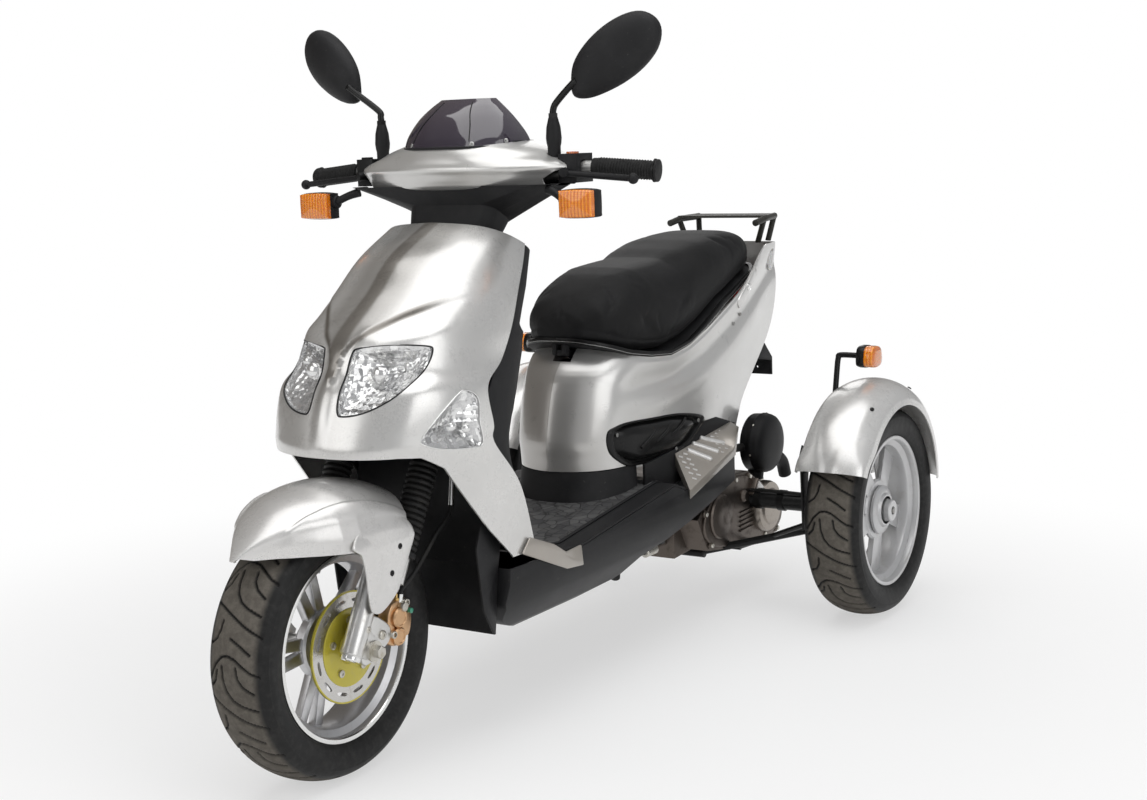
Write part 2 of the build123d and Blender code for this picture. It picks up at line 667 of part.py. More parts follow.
with BuildPart() as side_vents:
    for side in (-1, 1):
        low, high = sorted((side * 60, side * 200))
        add(side_prism(vent_outline, low, high))
    add(body_loft(body_rows), mode=Mode.INTERSECT)
    add(body_loft(body_rows, 14, 5), mode=Mode.SUBTRACT)
    add(floorboard.part, mode=Mode.SUBTRACT)
save(side_vents, "side_vents")

skirt = [(190, 346), (190, 414), (215, 415), (376, 429), (452, 467), (520, 465), (612, 437), (588, 404), (496, 330), (300, 300)]
with BuildPart() as side_skirts:
    for side in (-1, 1):
        low, high = sorted((side * 143, side * (150 - part_gap)))
        add(side_prism(skirt, low, high))
    add(floorboard.part, mode=Mode.SUBTRACT)
    add(belly_pan.part, mode=Mode.SUBTRACT)
    add(side_vents.part, mode=Mode.SUBTRACT)
save(side_skirts, "side_skirts")

hinge_y = 104.0
hinge_z = 664.0
hinge_half = 18.0
for side_name, side in (("left", 1), ("right", -1)):
    with BuildPart() as side_panel:
        add(body_shell.part)
        low, high = sorted((side * part_gap / 2, side * 300))
        add(side_prism([(-100, 200), (1100, 200), (1100, 1100), (-100, 1100)], low, high), mode=Mode.INTERSECT)
        for vent_low, vent_high in ((-200, -60), (60, 200)):
            add(side_prism(grown(vent_outline, part_gap), vent_low, vent_high), mode=Mode.SUBTRACT)
        add(front_prism([(hinge_half + 5, 643), (hinge_half + 5, 700), (-hinge_half - 5, 700), (-hinge_half - 5, 643)],
                        60, 240), mode=Mode.SUBTRACT)
        add(front_prism(grown(tail_lamp, part_gap), 860, 960), mode=Mode.SUBTRACT)
    save(side_panel, f"side_panel_{side_name}")

with BuildPart() as tail_light:
    add(front_prism(tail_lamp, 900, 942))
    add(body_loft([(z, f + 0, a, b, r + 5, c) for z, f, a, b, r, c in body_rows]), mode=Mode.INTERSECT)
    add(body_loft(body_rows, 18), mode=Mode.SUBTRACT)
save(tail_light, "tail_light")

seat_plan = [
    (0, 92), (58, 98), (98, 124), (128, 190), (148, 320), (152, 450), (147, 600), (130, 740), (102, 806), (60, 822),
    (0, 826),
]
seat_top = [
    (815, 862), (780, 877), (711, 881), (650, 878), (558, 869), (475, 853), (425, 838), (330, 832), (275, 828),
    (224, 815), (180, 797), (130, 775), (96, 740),
]


with BuildPart() as seat:
    add(side_prism([(y, z + part_gap) for y, z in seat_line] + seat_top, -160, 160))
    add(plan_prism(seat_plan, 600, 900), mode=Mode.INTERSECT)
save(seat, "seat")

with BuildPart() as seat_base:
    lower = [(y, z - base_skin) for y, z in reversed(seat_line)]
    add(side_prism(seat_line + lower, -160, 160))
    add(plan_prism(seat_plan, 600, 900), mode=Mode.INTERSECT)
    for x in (-12.5, 12.5):
        add(rod((x - 5, hinge_y, hinge_z), (x + 5, hinge_y, hinge_z), 8))
        lug = [(hinge_y - 8, hinge_z), (hinge_y + 8, hinge_z), (hinge_y + 8, 682), (hinge_y - 8, 682)]
        add(side_prism(lug, x - 5, x + 5))
    add(rod((-60, hinge_y, hinge_z), (60, hinge_y, hinge_z), 4 + running_gap), mode=Mode.SUBTRACT)
save(seat_base, "seat_base")

# ---- frame -------------------------------------------------------------------------------------------
rail_x = 110.0
rail_z = 252.0
cross_radius = 12.0
with BuildPart() as frame:
    for side in (-1, 1):
        down = [(side * 20, -366, 735), (side * 60, -338, 590), (side * 62, -345, 440), (side * 100, -320, 266)]
        add(tube_run(down, 30, tube_radius))
        rail = [
            (side * 100, -330, rail_z), (side * rail_x, 330, rail_z), (side * 95, 560, 560), (side * 78, 856, 640),
        ]
        add(tube_run(rail, 60, tube_radius))
    for y, z, half in ((-320, rail_z, 100), (330, rail_z, rail_x), (560, 560, 95), (856, 640, 78)):
        add(rod((-half, y, z), (half, y, z), cross_radius))
    add(rod(steered(0, 0, head_low), steered(0, 0, head_high), 28))
    add(rod(steered(0, 0, head_low - 5), steered(0, 0, head_high + 5), stem_radius + running_gap), mode=Mode.SUBTRACT)
save(frame, "frame")

stand_y = 312.0
stand_z = 214.0
with BuildPart() as centre_stand:
    add(rod((-104, stand_y, stand_z), (104, stand_y, stand_z), 9))
    for side in (-1, 1):
        with Locations((side * rail_x, stand_y, (stand_z + rail_z) / 2 - 7)):
            Box(12, 24, rail_z - stand_z)
        add(rod((side * 98, stand_y, stand_z), (side * 104, 128, 190), 8))
        add(rod((side * 104, 128, 190), (side * 112, 112, 178), 11))
    add(frame.part, mode=Mode.SUBTRACT)
save(centre_stand, "centre_stand")

# ---- load space under the seat -------------------------------------------------------------------------
bucket_half = 74.0
bucket_wall = 3.0
bucket_rear = 560 - cross_radius - part_gap
with BuildPart() as storage_bucket:
    box = [(205, 628), (215, 430), (500, 430), (bucket_rear, 560), (bucket_rear, 628)]
    room = [(208, 640), (218, 433), (498, 433), (bucket_rear - 3, 562), (bucket_rear - 3, 640)]
    add(side_prism(box, -bucket_half, bucket_half))
    add(side_prism(room, bucket_wall - bucket_half, bucket_half - bucket_wall), mode=Mode.SUBTRACT)
    arm = [(208, 575), (206, 628), (190, 646), (150, 660), (112, 669), (98, 669), (98, 657), (140, 649), (176, 628)]
    add(side_prism(arm, -7, 7))
    add(rod((-hinge_half, hinge_y, hinge_z), (hinge_half, hinge_y, hinge_z), 4))
save(storage_bucket, "storage_bucket")

# ---- engine, axle and suspension -------------------------------------------------------------------------
beam_radius = 22.0
beam_end = rear_wheel_x + hub_inner - 4
wheel_end = rear_wheel_x + 42
housing_radius = 70.0
rod_end = rear_wheel_x - 90       # x where the lower radius rods meet the axle lugs
with BuildPart() as rear_axle:
    add(rod((-beam_end, rear_axle_y, tyre_radius), (beam_end, rear_axle_y, tyre_radius), beam_radius))
    add(rod((-wheel_end - 12, rear_axle_y, tyre_radius), (wheel_end + 12, rear_axle_y, tyre_radius), stub_radius))
    add(rod((-60, rear_axle_y, tyre_radius), (60, rear_axle_y, tyre_radius), housing_radius))
    for side in (-1, 1):
        low, high = sorted((side * (wheel_end + part_gap), side * (wheel_end + 12)))
        add(rod((low, rear_axle_y, tyre_radius), (high, rear_axle_y, tyre_radius), 21))
        low, high = sorted((side * (rod_end - 6), side * (rod_end + 6)))
        add(side_prism([(672, 240), (636, 212), (644, 190), (668, 196), (700, 232)], low, high))
save(rear_axle, "rear_axle")

case_line = [(417, 241), (518, 315), (671, 310), (851, 199), (826, 128), (662, 127), (461, 160)]
with BuildPart() as engine:
    add(side_prism(case_line, 95, 150))
    rear_face = rear_axle_y - housing_radius - part_gap
    add(side_prism([(400, 150), (400, 306), (440, 326), (rear_face, 320), (rear_face, 160)], -85, 96))
    add(side_prism([(330 + cross_radius + part_gap, 190), (330 + cross_radius + part_gap, 290), (401, 300), (401, 180)],
                   -60, 60))
    add(rod((90, rear_axle_y, tyre_radius), (155, rear_axle_y, tyre_radius), beam_radius + part_gap), mode=Mode.SUBTRACT)
save(engine, "engine")

filter_centre = (806.0, 353.0)
with BuildPart() as air_filter:
    with BuildSketch(Plane.YZ.offset(98)):
        with Locations(filter_centre):
            Ellipse(78, 74)
    extrude(amount=44)
    add(rod((112, 776, 240), (112, 800, 320), 20))
    add(engine.part, mode=Mode.SUBTRACT)
save(air_filter, "air_filter")

muffler_x = -190.0
with BuildPart() as exhaust:
    add(rod((muffler_x, 628, 322), (muffler_x, 910, 322), 48))
    add(tube_run([(-80, 540, 250), (-150, 540, 236), (muffler_x, 570, 240), (muffler_x, 612, 300), (muffler_x, 650, 322)],
                 14, 14))
    add(rod((muffler_x, 900, 322), (muffler_x, 930, 316), 12))
    add(engine.part, mode=Mode.SUBTRACT)
save(exhaust, "exhaust")

with BuildPart() as radius_rods:
    for side in (-1, 1):
        add(rod((side * 90, 520, 138), (side * rod_end, 650, 200), 9))
        add(rod((side * 110, 700, 112), (side * (rod_end + 10), 500, 236), 6))
    add(rod((-110, 520, 138), (110, 520, 138), 11))
    add(rod((-112, 700, 112), (112, 700, 112), 8))
    add(engine.part, mode=Mode.SUBTRACT)
    add(rear_axle.part, mode=Mode.SUBTRACT)
save(radius_rods, "radius_rods")

with BuildPart() as rear_shocks:
    for side in (-1, 1):
        add(rod((side * 72, 674, 285), (side * 84, 660, 560), 20))
        add(rod((side * 71, 676, 250), (side * 88, 658, 592), 8))
    add(rear_axle.part, mode=Mode.SUBTRACT)
    add(frame.part, mode=Mode.SUBTRACT)
save(rear_shocks, "rear_shocks")

# ---- rear fenders and signals ----------------------------------------------------------------------------
rear_fender_z = 281.0
rear_fender_half = 82.0
with BuildPart() as rear_fenders:
    for side in (-1, 1):
        centre = (side * rear_wheel_x, rear_axle_y, rear_fender_z)
        add(fender_arc(centre, rear_reach, rear_fender_half, 50, fender_wall, 20.5, 180))
        inner = rear_wheel_x - rear_fender_half
        low, high = sorted((side * inner, side * (inner + 4)))
        stay = [(662, 243), (698, 243), (712, 500), (648, 500)]
        add(side_prism(stay, low, high))
        front_stay = [(486, 226), (506, 224), (520, 380), (490, 420), (478, 400)]
        add(side_prism(front_stay, low, high))
    add(rear_axle.part, mode=Mode.SUBTRACT)
    add(radius_rods.part, mode=Mode.SUBTRACT)
save(rear_fenders, "rear_fenders")

signal_post = rear_wheel_x - 68
with BuildPart() as rear_signals:
    for side in (-1, 1):
        add(rod((side * signal_post, 642, 505), (side * signal_post, 664, 602), 6))
        add(rod((side * signal_post, 664, 600), (side * (signal_post + 58), 668, 600), 6))
        with Locations((side * (signal_post + 72), 670, 600)):
            Box(42, 62, 44)
    add(rear_fenders.part, mode=Mode.SUBTRACT)
save(rear_signals, "rear_signals")

# ---- passenger footboards, tail fittings and rack ------------------------------------------------------------
board_inner = [(321, 386), (588, 418), (588, 443), (470, 431), (321, 414)]
board_outer = [(277, 325), (496, 384), (515, 446), (488, 402), (277, 345)]
with BuildPart() as passenger_footboards:
    for x, outline in ((150, board_inner), (210, board_outer)):
        with BuildSketch(Plane.YZ.offset(x)):
            with BuildLine():
                Polyline(*outline, close=True)
            make_face()
    loft(ruled=True)
    mirror(about=Plane.YZ)
    add(body_loft(body_rows), mode=Mode.SUBTRACT)
    add(belly_pan.part, mode=Mode.SUBTRACT)
    add(floorboard.part, mode=Mode.SUBTRACT)
save(passenger_footboards, "passenger_footboards")

plate_holes = 100.0
plate_face = 938.0
with BuildPart() as plate_bracket:
    add(side_prism([(868, 616), (plate_face, 548), (plate_face, 504), (plate_face - 6, 504), (plate_face - 6, 540),
                    (834, 560)], -90, 90))
    for x in (-plate_holes / 2, plate_holes / 2):
        add(rod((x, plate_face - 20, 522), (x, plate_face + 20, 522), 3), mode=Mode.SUBTRACT)
    add(body_loft(body_rows), mode=Mode.SUBTRACT)
save(plate_bracket, "plate_bracket")

rack_x = 118.0
rack_height = 893.0
rack_deck = 909.0
rack_tube = 8.0
with BuildPart() as rear_rack:
    for side in (-1, 1):
        run = [(side * rack_x, 802, rack_height), (side * rack_x, 856, rack_height + 8), (side * 106, 932, rack_height + 10)]
        add(tube_run(run, 40, rack_tube))
        add(rod((side * 106, 930, rack_height + 10), (side * 96, 914, 842 + part_gap), 7))
        add(rod((side * rack_x, 850, rack_height + 6), (side * 98, 854, 842 + part_gap), 7))
    for y, half in ((858, 120), (893, 115), (926, 110)):
        with Locations((0, y, rack_deck - 3)):
            Box(2 * half, 24, 6)
    below_deck = [(780, 700), (960, 700), (960, 842 + part_gap), (780, 842 + part_gap)]
    add(side_prism(below_deck, -200, 200), mode=Mode.SUBTRACT)
save(rear_rack, "rear_rack")
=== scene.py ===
import json
import math

import bmesh
import bpy
from mathutils import Matrix, Vector

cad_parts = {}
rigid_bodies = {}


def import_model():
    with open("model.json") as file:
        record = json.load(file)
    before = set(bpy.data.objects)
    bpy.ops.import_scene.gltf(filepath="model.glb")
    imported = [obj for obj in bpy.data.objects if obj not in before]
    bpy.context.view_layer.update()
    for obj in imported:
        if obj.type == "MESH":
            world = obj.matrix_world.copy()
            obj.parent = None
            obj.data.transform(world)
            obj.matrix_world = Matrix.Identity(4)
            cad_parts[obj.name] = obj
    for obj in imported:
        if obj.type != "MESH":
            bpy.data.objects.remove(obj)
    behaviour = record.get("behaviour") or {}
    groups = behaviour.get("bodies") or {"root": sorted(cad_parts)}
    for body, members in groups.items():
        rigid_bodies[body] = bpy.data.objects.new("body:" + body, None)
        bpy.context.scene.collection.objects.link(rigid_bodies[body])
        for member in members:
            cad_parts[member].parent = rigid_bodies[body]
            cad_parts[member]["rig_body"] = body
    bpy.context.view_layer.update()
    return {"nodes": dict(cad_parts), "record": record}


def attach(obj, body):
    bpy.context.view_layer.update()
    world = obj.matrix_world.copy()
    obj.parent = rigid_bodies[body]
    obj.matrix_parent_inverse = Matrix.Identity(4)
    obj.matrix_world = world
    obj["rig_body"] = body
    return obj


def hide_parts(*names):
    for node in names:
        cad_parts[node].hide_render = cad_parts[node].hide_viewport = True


bl_info = {
    "name": "Three-wheeled scooter",
    "version": (1, 0, 0),
    "blender": (4, 5, 0),
    "location": "View3D > Sidebar > Scooter",
    "description": "Builds a three-wheeled motor scooter around its packed parts",
    "category": "Add Mesh",
}

MM = 0.001
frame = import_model()


# ---- shader maths ---------------------------------------------------------------------------
class Wire:
    """An output socket. Adding to it or multiplying it makes Math nodes."""

    def __init__(self, finish, socket):
        self.finish = finish
        self.socket = socket

    def math(self, operation, first, second):
        return self.finish.node("ShaderNodeMath", {"operation": operation}, {0: first, 1: second})

    def __add__(self, other):
        return self.math("ADD", self, other)

    def __mul__(self, other):
        return self.math("MULTIPLY", self, other)

    __radd__ = __add__
    __rmul__ = __mul__


class Finish:
    """A node material: one Principled shader and the nodes that feed it."""

    def __init__(self, name, **constants):
        self.material = bpy.data.materials.new(name)
        self.material.use_nodes = True
        self.tree = self.material.node_tree
        self.tree.nodes.clear()
        output = self.tree.nodes.new("ShaderNodeOutputMaterial")
        self.shader = self.tree.nodes.new("ShaderNodeBsdfPrincipled")
        self.tree.links.new(self.shader.outputs[0], output.inputs[0])
        for key, value in constants.items():
            self.shader.inputs[key.replace("_", " ")].default_value = value
        self.place = self.node("ShaderNodeTexCoord", {}, {}, "Object")

    def node(self, kind, settings=None, values=None, out=0):
        node = self.tree.nodes.new(kind)
        for key, value in (settings or {}).items():
            setattr(node, key, value)
        for key, value in (values or {}).items():
            self.feed(node.inputs[key], value)
        return Wire(self, node.outputs[out])

    def feed(self, socket, value):
        if isinstance(value, Wire):
            self.tree.links.new(value.socket, socket)
        elif hasattr(socket.default_value, "__len__") and len(socket.default_value) == 4 and len(value) == 3:
            socket.default_value = (*value, 1)
        else:
            socket.default_value = value

    def noise(self, scale, detail=4.0, rough=0.55, place=None, out="Fac"):
        values = {"Vector": place or self.place, "Scale": scale, "Detail": detail, "Roughness": rough}
        return self.node("ShaderNodeTexNoise", {}, values, out)

    def cells(self, scale, feature="F1", place=None, out="Distance", jitter=1.0):
        values = {"Vector": place or self.place, "Scale": scale, "Randomness": jitter}
        return self.node("ShaderNodeTexVoronoi", {"feature": feature}, values, out)

    def stretch(self, x, y, z):
        return self.node("ShaderNodeMapping", {}, {"Vector": self.place, "Scale": (x, y, z)})

    def part(self, axis, place=None):
        return self.node("ShaderNodeSeparateXYZ", {}, {0: place or self.place}, axis)

    def step(self, value, low, high):
        return self.node("ShaderNodeMapRange", {"interpolation_type": "SMOOTHSTEP"},
                         {"Value": value, "From Min": low, "From Max": high})

    def blend(self, factor, first, second):
        node = self.tree.nodes.new("ShaderNodeMix")
        node.data_type = "RGBA"
        for index, value in ((0, factor), (6, first), (7, second)):
            self.feed(node.inputs[index], value)
        return Wire(self, node.outputs[2])

    def bump(self, height, strength, distance):
        values = {"Height": height, "Strength": strength, "Distance": distance}
        return self.node("ShaderNodeBump", {}, values)

    def surface(self, **inputs):
        for key, value in inputs.items():
            self.feed(self.shader.inputs[key.replace("_", " ")], value)
        return self.material


def painted(name, light, dark, roughness=0.3, metallic=0.55, dirt=0.02, painted_shade=None):
    """Metallic paint under lacquer: fine flake, slow tone drift, dust low down, and painted shade and
    reflection where the 'tone' attribute is set.
    """
    coat = Finish(name, Metallic=metallic, Coat_Weight=0.55, Coat_Roughness=0.08, IOR=1.5)
    drift = coat.noise(3.2, 3.0)
    flake = coat.cells(2600, out="Color")
    sparkle = coat.part(0, flake)
    tone = coat.blend(coat.step(drift, 0.35, 0.68), light, dark)
    tone = coat.blend(sparkle * 0.16, tone, [min(1.0, c * 1.35) for c in light])
    height = coat.part(2)
    dust = coat.step(coat.noise(38, 6.0), 0.52, 0.72) * coat.step(height, 0.75, 0.25) * dirt
    tone = coat.blend(dust, tone, (0.32, 0.28, 0.23))
    # Painted shade and reflection: where the 'tone' attribute is set, the paint is blended towards the
    # painted shade colour.
    if painted_shade:
        painted_shade_mask = coat.node("ShaderNodeAttribute", {"attribute_name": "tone"}, {}, "Fac")
        tone = coat.blend(painted_shade_mask, tone, painted_shade)
    grain = coat.bump(coat.noise(420, 2.0), 0.05, 0.0004)
    rough = coat.noise(24, 4.0) * 0.12 + (roughness - 0.05)
    return coat.surface(Base_Color=tone, Roughness=rough + sparkle * 0.05, Normal=grain)


def moulded(name, base, roughness=0.55, grain=900.0, depth=0.22, dust=0.25):
    """Black moulded plastic: leathery grain, faint haze and dust."""
    skin = Finish(name, IOR=1.3)
    pebbles = skin.cells(grain)
    haze = skin.noise(14, 5.0)
    pale = [c + 0.035 for c in base]
    tone = skin.blend(skin.step(haze, 0.4, 0.75) * dust, base, pale)
    fleck = skin.step(skin.noise(160, 3.0), 0.66, 0.8) * dust
    tone = skin.blend(fleck, tone, (0.16, 0.15, 0.13))
    normal = skin.bump(pebbles, depth, 0.0006)
    rough = haze * 0.22 + (roughness - 0.1)
    return skin.surface(Base_Color=tone, Roughness=rough, Normal=normal)


def rubbery(name, base, worn, roughness=0.72, scale=60.0, amount=0.5):
    """Rubber: matt, mottled, a little greyed where it wears."""
    skin = Finish(name, IOR=1.3)
    patches = skin.step(skin.noise(scale, 6.0, 0.65), 0.38, 0.72)
    tone = skin.blend(patches * amount, base, worn)
    pits = skin.noise(700, 3.0)
    return skin.surface(
        Base_Color=tone, Roughness=skin.noise(26, 4.0) * 0.2 + (roughness - 0.1),
        Normal=skin.bump(pits, 0.25, 0.0005),
    )


def metal(name, base, roughness=0.3, brushed=(1, 1, 1), tarnish=(0.3, 0.27, 0.22), stain=0.25, cast=0.0):
    """Bare or plated metal: fine brush lines or cast skin, with stained hollows."""
    skin = Finish(name, Metallic=1.0)
    lines = skin.noise(300, 3.0, 0.6, skin.stretch(*brushed))
    spots = skin.step(skin.noise(45, 6.0, 0.65), 0.5, 0.74)
    tone = skin.blend(spots * stain, base, tarnish)
    tone = skin.blend(lines * 0.22, tone, [c * 0.72 for c in base])
    rough = lines * 0.22 + (roughness - 0.1) + spots * stain * 0.5
    height = lines * 0.4 + skin.noise(520, 4.0) * cast
    return skin.surface(Base_Color=tone, Roughness=rough, Normal=skin.bump(height, 0.22 + cast * 0.4, 0.0006))


def tyre_rubber(name):
    """Tyre: black walls with a fine sheen and a brownish scuffed tread."""
    skin = Finish(name, IOR=1.32)
    wear = skin.node("ShaderNodeAttribute", {"attribute_name": "tread"}, {}, "Fac")
    mottled = skin.noise(70, 8.0, 0.7)
    streak = skin.noise(26, 5.0, 0.6, skin.stretch(1, 3, 3))
    scuffed = skin.blend(skin.step(mottled, 0.35, 0.7), (0.1, 0.09, 0.077), (0.15, 0.136, 0.116))
    wall = skin.blend(skin.step(streak, 0.4, 0.75) * 0.5, (0.012, 0.012, 0.012), (0.035, 0.034, 0.033))
    tone = skin.blend(wear, wall, scuffed)
    rough = wear * 0.28 + mottled * 0.2 + 0.42
    return skin.surface(Base_Color=tone, Roughness=rough, Normal=skin.bump(skin.noise(600, 4.0), 0.3, 0.0006))


def clear_lens(name, tint=(0.97, 0.98, 1.0), roughness=0.02):
    """Clear moulded lens: thin and hardly tinted, with faint mould waves."""
    glass = Finish(name, Transmission_Weight=0.0, IOR=1.45, Specular_IOR_Level=0.6, Coat_Weight=1.0,
                   Coat_Roughness=0.02)
    waves = glass.noise(60, 2.0)
    rim = glass.node("ShaderNodeLayerWeight", {}, {"Blend": 0.35}, "Facing")
    return glass.surface(Base_Color=glass.blend(waves * 0.2, tint, [c * 0.9 for c in tint]),
                         Roughness=waves * 0.03 + roughness, Alpha=rim * 0.3 + 0.07,
                         Normal=glass.bump(waves, 0.05, 0.0005))


def tinted_lens(name, base, deep, prism=260.0):
    """Coloured lens with a pressed prism pattern."""
    glass = Finish(name, Coat_Weight=1.0, Coat_Roughness=0.03, IOR=1.5, Specular_IOR_Level=0.6,
                   Subsurface_Weight=0.25, Subsurface_Radius=(0.02, 0.008, 0.002))
    ribs = glass.node("ShaderNodeTexWave", {"bands_direction": "X"},
                      {"Vector": glass.place, "Scale": prism / 6.0}, "Fac")
    grid = glass.cells(prism, jitter=0.0)
    tone = glass.blend(glass.step(ribs * 0.5 + grid * 0.5, 0.2, 0.8), deep, base)
    return glass.surface(Base_Color=tone, Roughness=grid * 0.2 + 0.12,
                         Normal=glass.bump(ribs + grid, 0.5, 0.0012))


def smoked_screen(name):
    """Smoked acrylic: dark violet, glossy, with faint dust and a painted reflection that lightens it towards
    the top.
    """
    pane = Finish(name, Coat_Weight=1.0, Coat_Roughness=0.03, IOR=1.49)
    dust = pane.step(pane.noise(120, 5.0), 0.55, 0.8)
    # Painted reflection: the pane's colour lightens towards its top.
    sweep = pane.step(pane.part(2), 1.11, 1.2)
    tone = pane.blend(sweep, (0.035, 0.028, 0.042), (0.055, 0.045, 0.06))
    tone = pane.blend(dust * 0.08, tone, (0.3, 0.29, 0.28))
    return pane.surface(Base_Color=tone, Roughness=dust * 0.08 + 0.07, Alpha=0.93)


def reflector(name):
    """Vacuum-plated lamp bowl: bright facets."""
    bowl = Finish(name, Metallic=1.0)
    facet = bowl.cells(75, out="Color", jitter=0.3)
    level = bowl.part(1, facet)
    tone = bowl.blend(level, (0.5, 0.5, 0.5), (0.95, 0.95, 0.94))
    return bowl.surface(Base_Color=tone, Roughness=level * 0.12 + 0.06,
                        Normal=bowl.bump(bowl.cells(75, jitter=0.3), 0.7, 0.003))


def vinyl(name):
    """Seat vinyl: soft black with fine leather grain and a dusty sheen."""
    skin = Finish(name, IOR=1.3, Sheen_Weight=0.03, Sheen_Roughness=0.4)
    grain = skin.cells(1100, feature="SMOOTH_F1")
    broad = skin.noise(9, 4.0)
    tone = skin.blend(skin.step(broad, 0.35, 0.75) * 0.45, (0.007, 0.007, 0.0075), (0.015, 0.0145, 0.0145))
    lint = skin.step(skin.noise(240, 3.0), 0.68, 0.8) * 0.2
    tone = skin.blend(lint, tone, (0.1, 0.095, 0.09))
    return skin.surface(Base_Color=tone, Roughness=broad * 0.12 + 0.56, Normal=skin.bump(grain, 0.3, 0.0007))


def floor_mat(name):
    """Rubber mat: mottled grey scales."""
    skin = Finish(name, IOR=1.5)
    plate = skin.cells(46, out="Color", jitter=0.85)
    tone_level = skin.part(0, plate)
    edge = skin.step(skin.cells(46, feature="DISTANCE_TO_EDGE", jitter=0.85), 0.0, 0.09)
    tone = skin.blend(tone_level, (0.05, 0.05, 0.052), (0.11, 0.11, 0.11))
    tone = skin.blend(edge, (0.02, 0.02, 0.02), tone)
    tone = skin.blend(skin.step(skin.noise(30, 6.0), 0.5, 0.75) * 0.35, tone, (0.13, 0.125, 0.115))
    return skin.surface(Base_Color=tone, Roughness=skin.noise(50, 4.0) * 0.25 + 0.5,
                        Normal=skin.bump(edge * 0.8 + skin.noise(300, 3.0) * 0.2, 0.6, 0.0015))


def make_finishes():
    """Every material by its plain name."""
    # The last colour of shield paint and panel paint is a painted shade and reflection colour.
    return {"silver": painted("silver paint", (0.62, 0.615, 0.6), (0.5, 0.495, 0.48), 0.3, 0.6),
            "shield paint": painted("shield paint", (0.66, 0.655, 0.64), (0.6, 0.595, 0.58), 0.26, 0.62,
            0.015, (0.2, 0.185, 0.165)), "panel paint": painted("panel paint", (0.64, 0.635, 0.62),
            (0.58, 0.575, 0.56), 0.28, 0.6, 0.015, (0.27, 0.245, 0.22)),
            "bright silver": painted("bright silver paint", (0.7, 0.695, 0.68), (0.66, 0.65, 0.635), 0.26,
            0.5, 0.01), "warm grey": painted("warm grey paint", (0.43, 0.4, 0.36), (0.35, 0.32, 0.285),
            0.36, 0.5, 0.12), "black plastic": moulded("black plastic", (0.014, 0.014, 0.015)),
            "belly plastic": moulded("belly plastic", (0.016, 0.016, 0.017), 0.42, 500.0, 0.15, 0.3),
            "soft black": moulded("soft black plastic", (0.012, 0.012, 0.013), 0.48, 1400.0, 0.12, 0.12),
            "gloss black": moulded("gloss black", (0.01, 0.01, 0.01), 0.22, 300.0, 0.02, 0.1),
            "boot rubber": rubbery("boot rubber", (0.012, 0.012, 0.012), (0.035, 0.033, 0.03), 0.55),
            "hose rubber": rubbery("hose rubber", (0.014, 0.014, 0.014), (0.04, 0.038, 0.035), 0.5, 30.0),
            "grip rubber": rubbery("grip rubber", (0.012, 0.012, 0.012), (0.03, 0.03, 0.03), 0.6, 90.0),
            "tyre": tyre_rubber("tyre rubber"),
            "alloy": metal("cast alloy", (0.66, 0.66, 0.67), 0.36, (1, 1, 1), (0.4, 0.38, 0.35), 0.2, 0.3),
            "rear alloy": painted("silver wheel paint", (0.58, 0.58, 0.585), (0.5, 0.5, 0.5), 0.36, 0.45,
                                  0.2), "bright alloy": metal("machined alloy", (0.82, 0.82, 0.81), 0.16,
            (1, 8, 8), (0.55, 0.52, 0.47), 0.12),
            "slider alloy": metal("slider alloy", (0.7, 0.695, 0.68), 0.3, (1, 1, 6), (0.42, 0.38, 0.3),
                                  0.3, 0.1), "mirror": metal("mirror glass", (0.86, 0.88, 0.9), 0.12,
            (1, 1, 1), (0.6, 0.62, 0.64), 0.05),
            "zinc": metal("zinc plate", (0.6, 0.58, 0.53), 0.34, (1, 1, 1), (0.4, 0.34, 0.2), 0.5),
            "disc steel": metal("disc steel", (0.62, 0.61, 0.59), 0.22, (1, 14, 14), (0.4, 0.33, 0.24),
                                0.3), "disc yellow": painted("disc yellow", (0.62, 0.53, 0.05),
            (0.5, 0.43, 0.04), 0.35, 0.35, 0.15),
            "green paint": painted("green paint", (0.05, 0.32, 0.2), (0.03, 0.24, 0.15), 0.4, 0.1),
            "copper": metal("gold-bronze anodised", (0.66, 0.42, 0.24), 0.34, (1, 1, 1), (0.33, 0.2, 0.12),
                            0.35, 0.3), "engine": metal("engine casting", (0.15, 0.128, 0.112), 0.4,
            (1, 1, 1), (0.07, 0.058, 0.048), 0.4, 0.5),
            "engine cover": metal("engine cover", (0.34, 0.305, 0.27), 0.3, (1, 1, 1), (0.16, 0.135, 0.11),
                                  0.3, 0.3), "steel": metal("grey steel", (0.4, 0.4, 0.39), 0.42, (1, 1, 3),
            (0.22, 0.17, 0.12), 0.4, 0.2), "brass": metal("brass", (0.75, 0.52, 0.2), 0.35, (1, 1, 1),
            (0.4, 0.28, 0.12), 0.4), "frame paint": moulded("frame black", (0.012, 0.012, 0.012), 0.3,
            250.0, 0.04, 0.25), "rack paint": moulded("rack black", (0.03, 0.029, 0.024), 0.38, 300.0, 0.05,
            0.35), "clear": clear_lens("clear lens"), "reflector": reflector("lamp bowl"),
            "amber": tinted_lens("amber lens", (0.98, 0.33, 0.008), (0.72, 0.17, 0.002)),
            "orange reflector": tinted_lens("orange reflector", (0.75, 0.2, 0.03), (0.45, 0.08, 0.01),
            420.0), "red": tinted_lens("red lens", (0.5, 0.015, 0.01), (0.2, 0.004, 0.004)),
            "grey lens": tinted_lens("grey lens", (0.42, 0.41, 0.4), (0.25, 0.24, 0.235), 500.0),
            "screen": smoked_screen("smoked screen"), "vinyl": vinyl("seat vinyl"),
            "mat": floor_mat("floor mat")}


FINISHES = {}


def finish(name):
    if not FINISHES:
        FINISHES.update(make_finishes())
    return FINISHES[name]


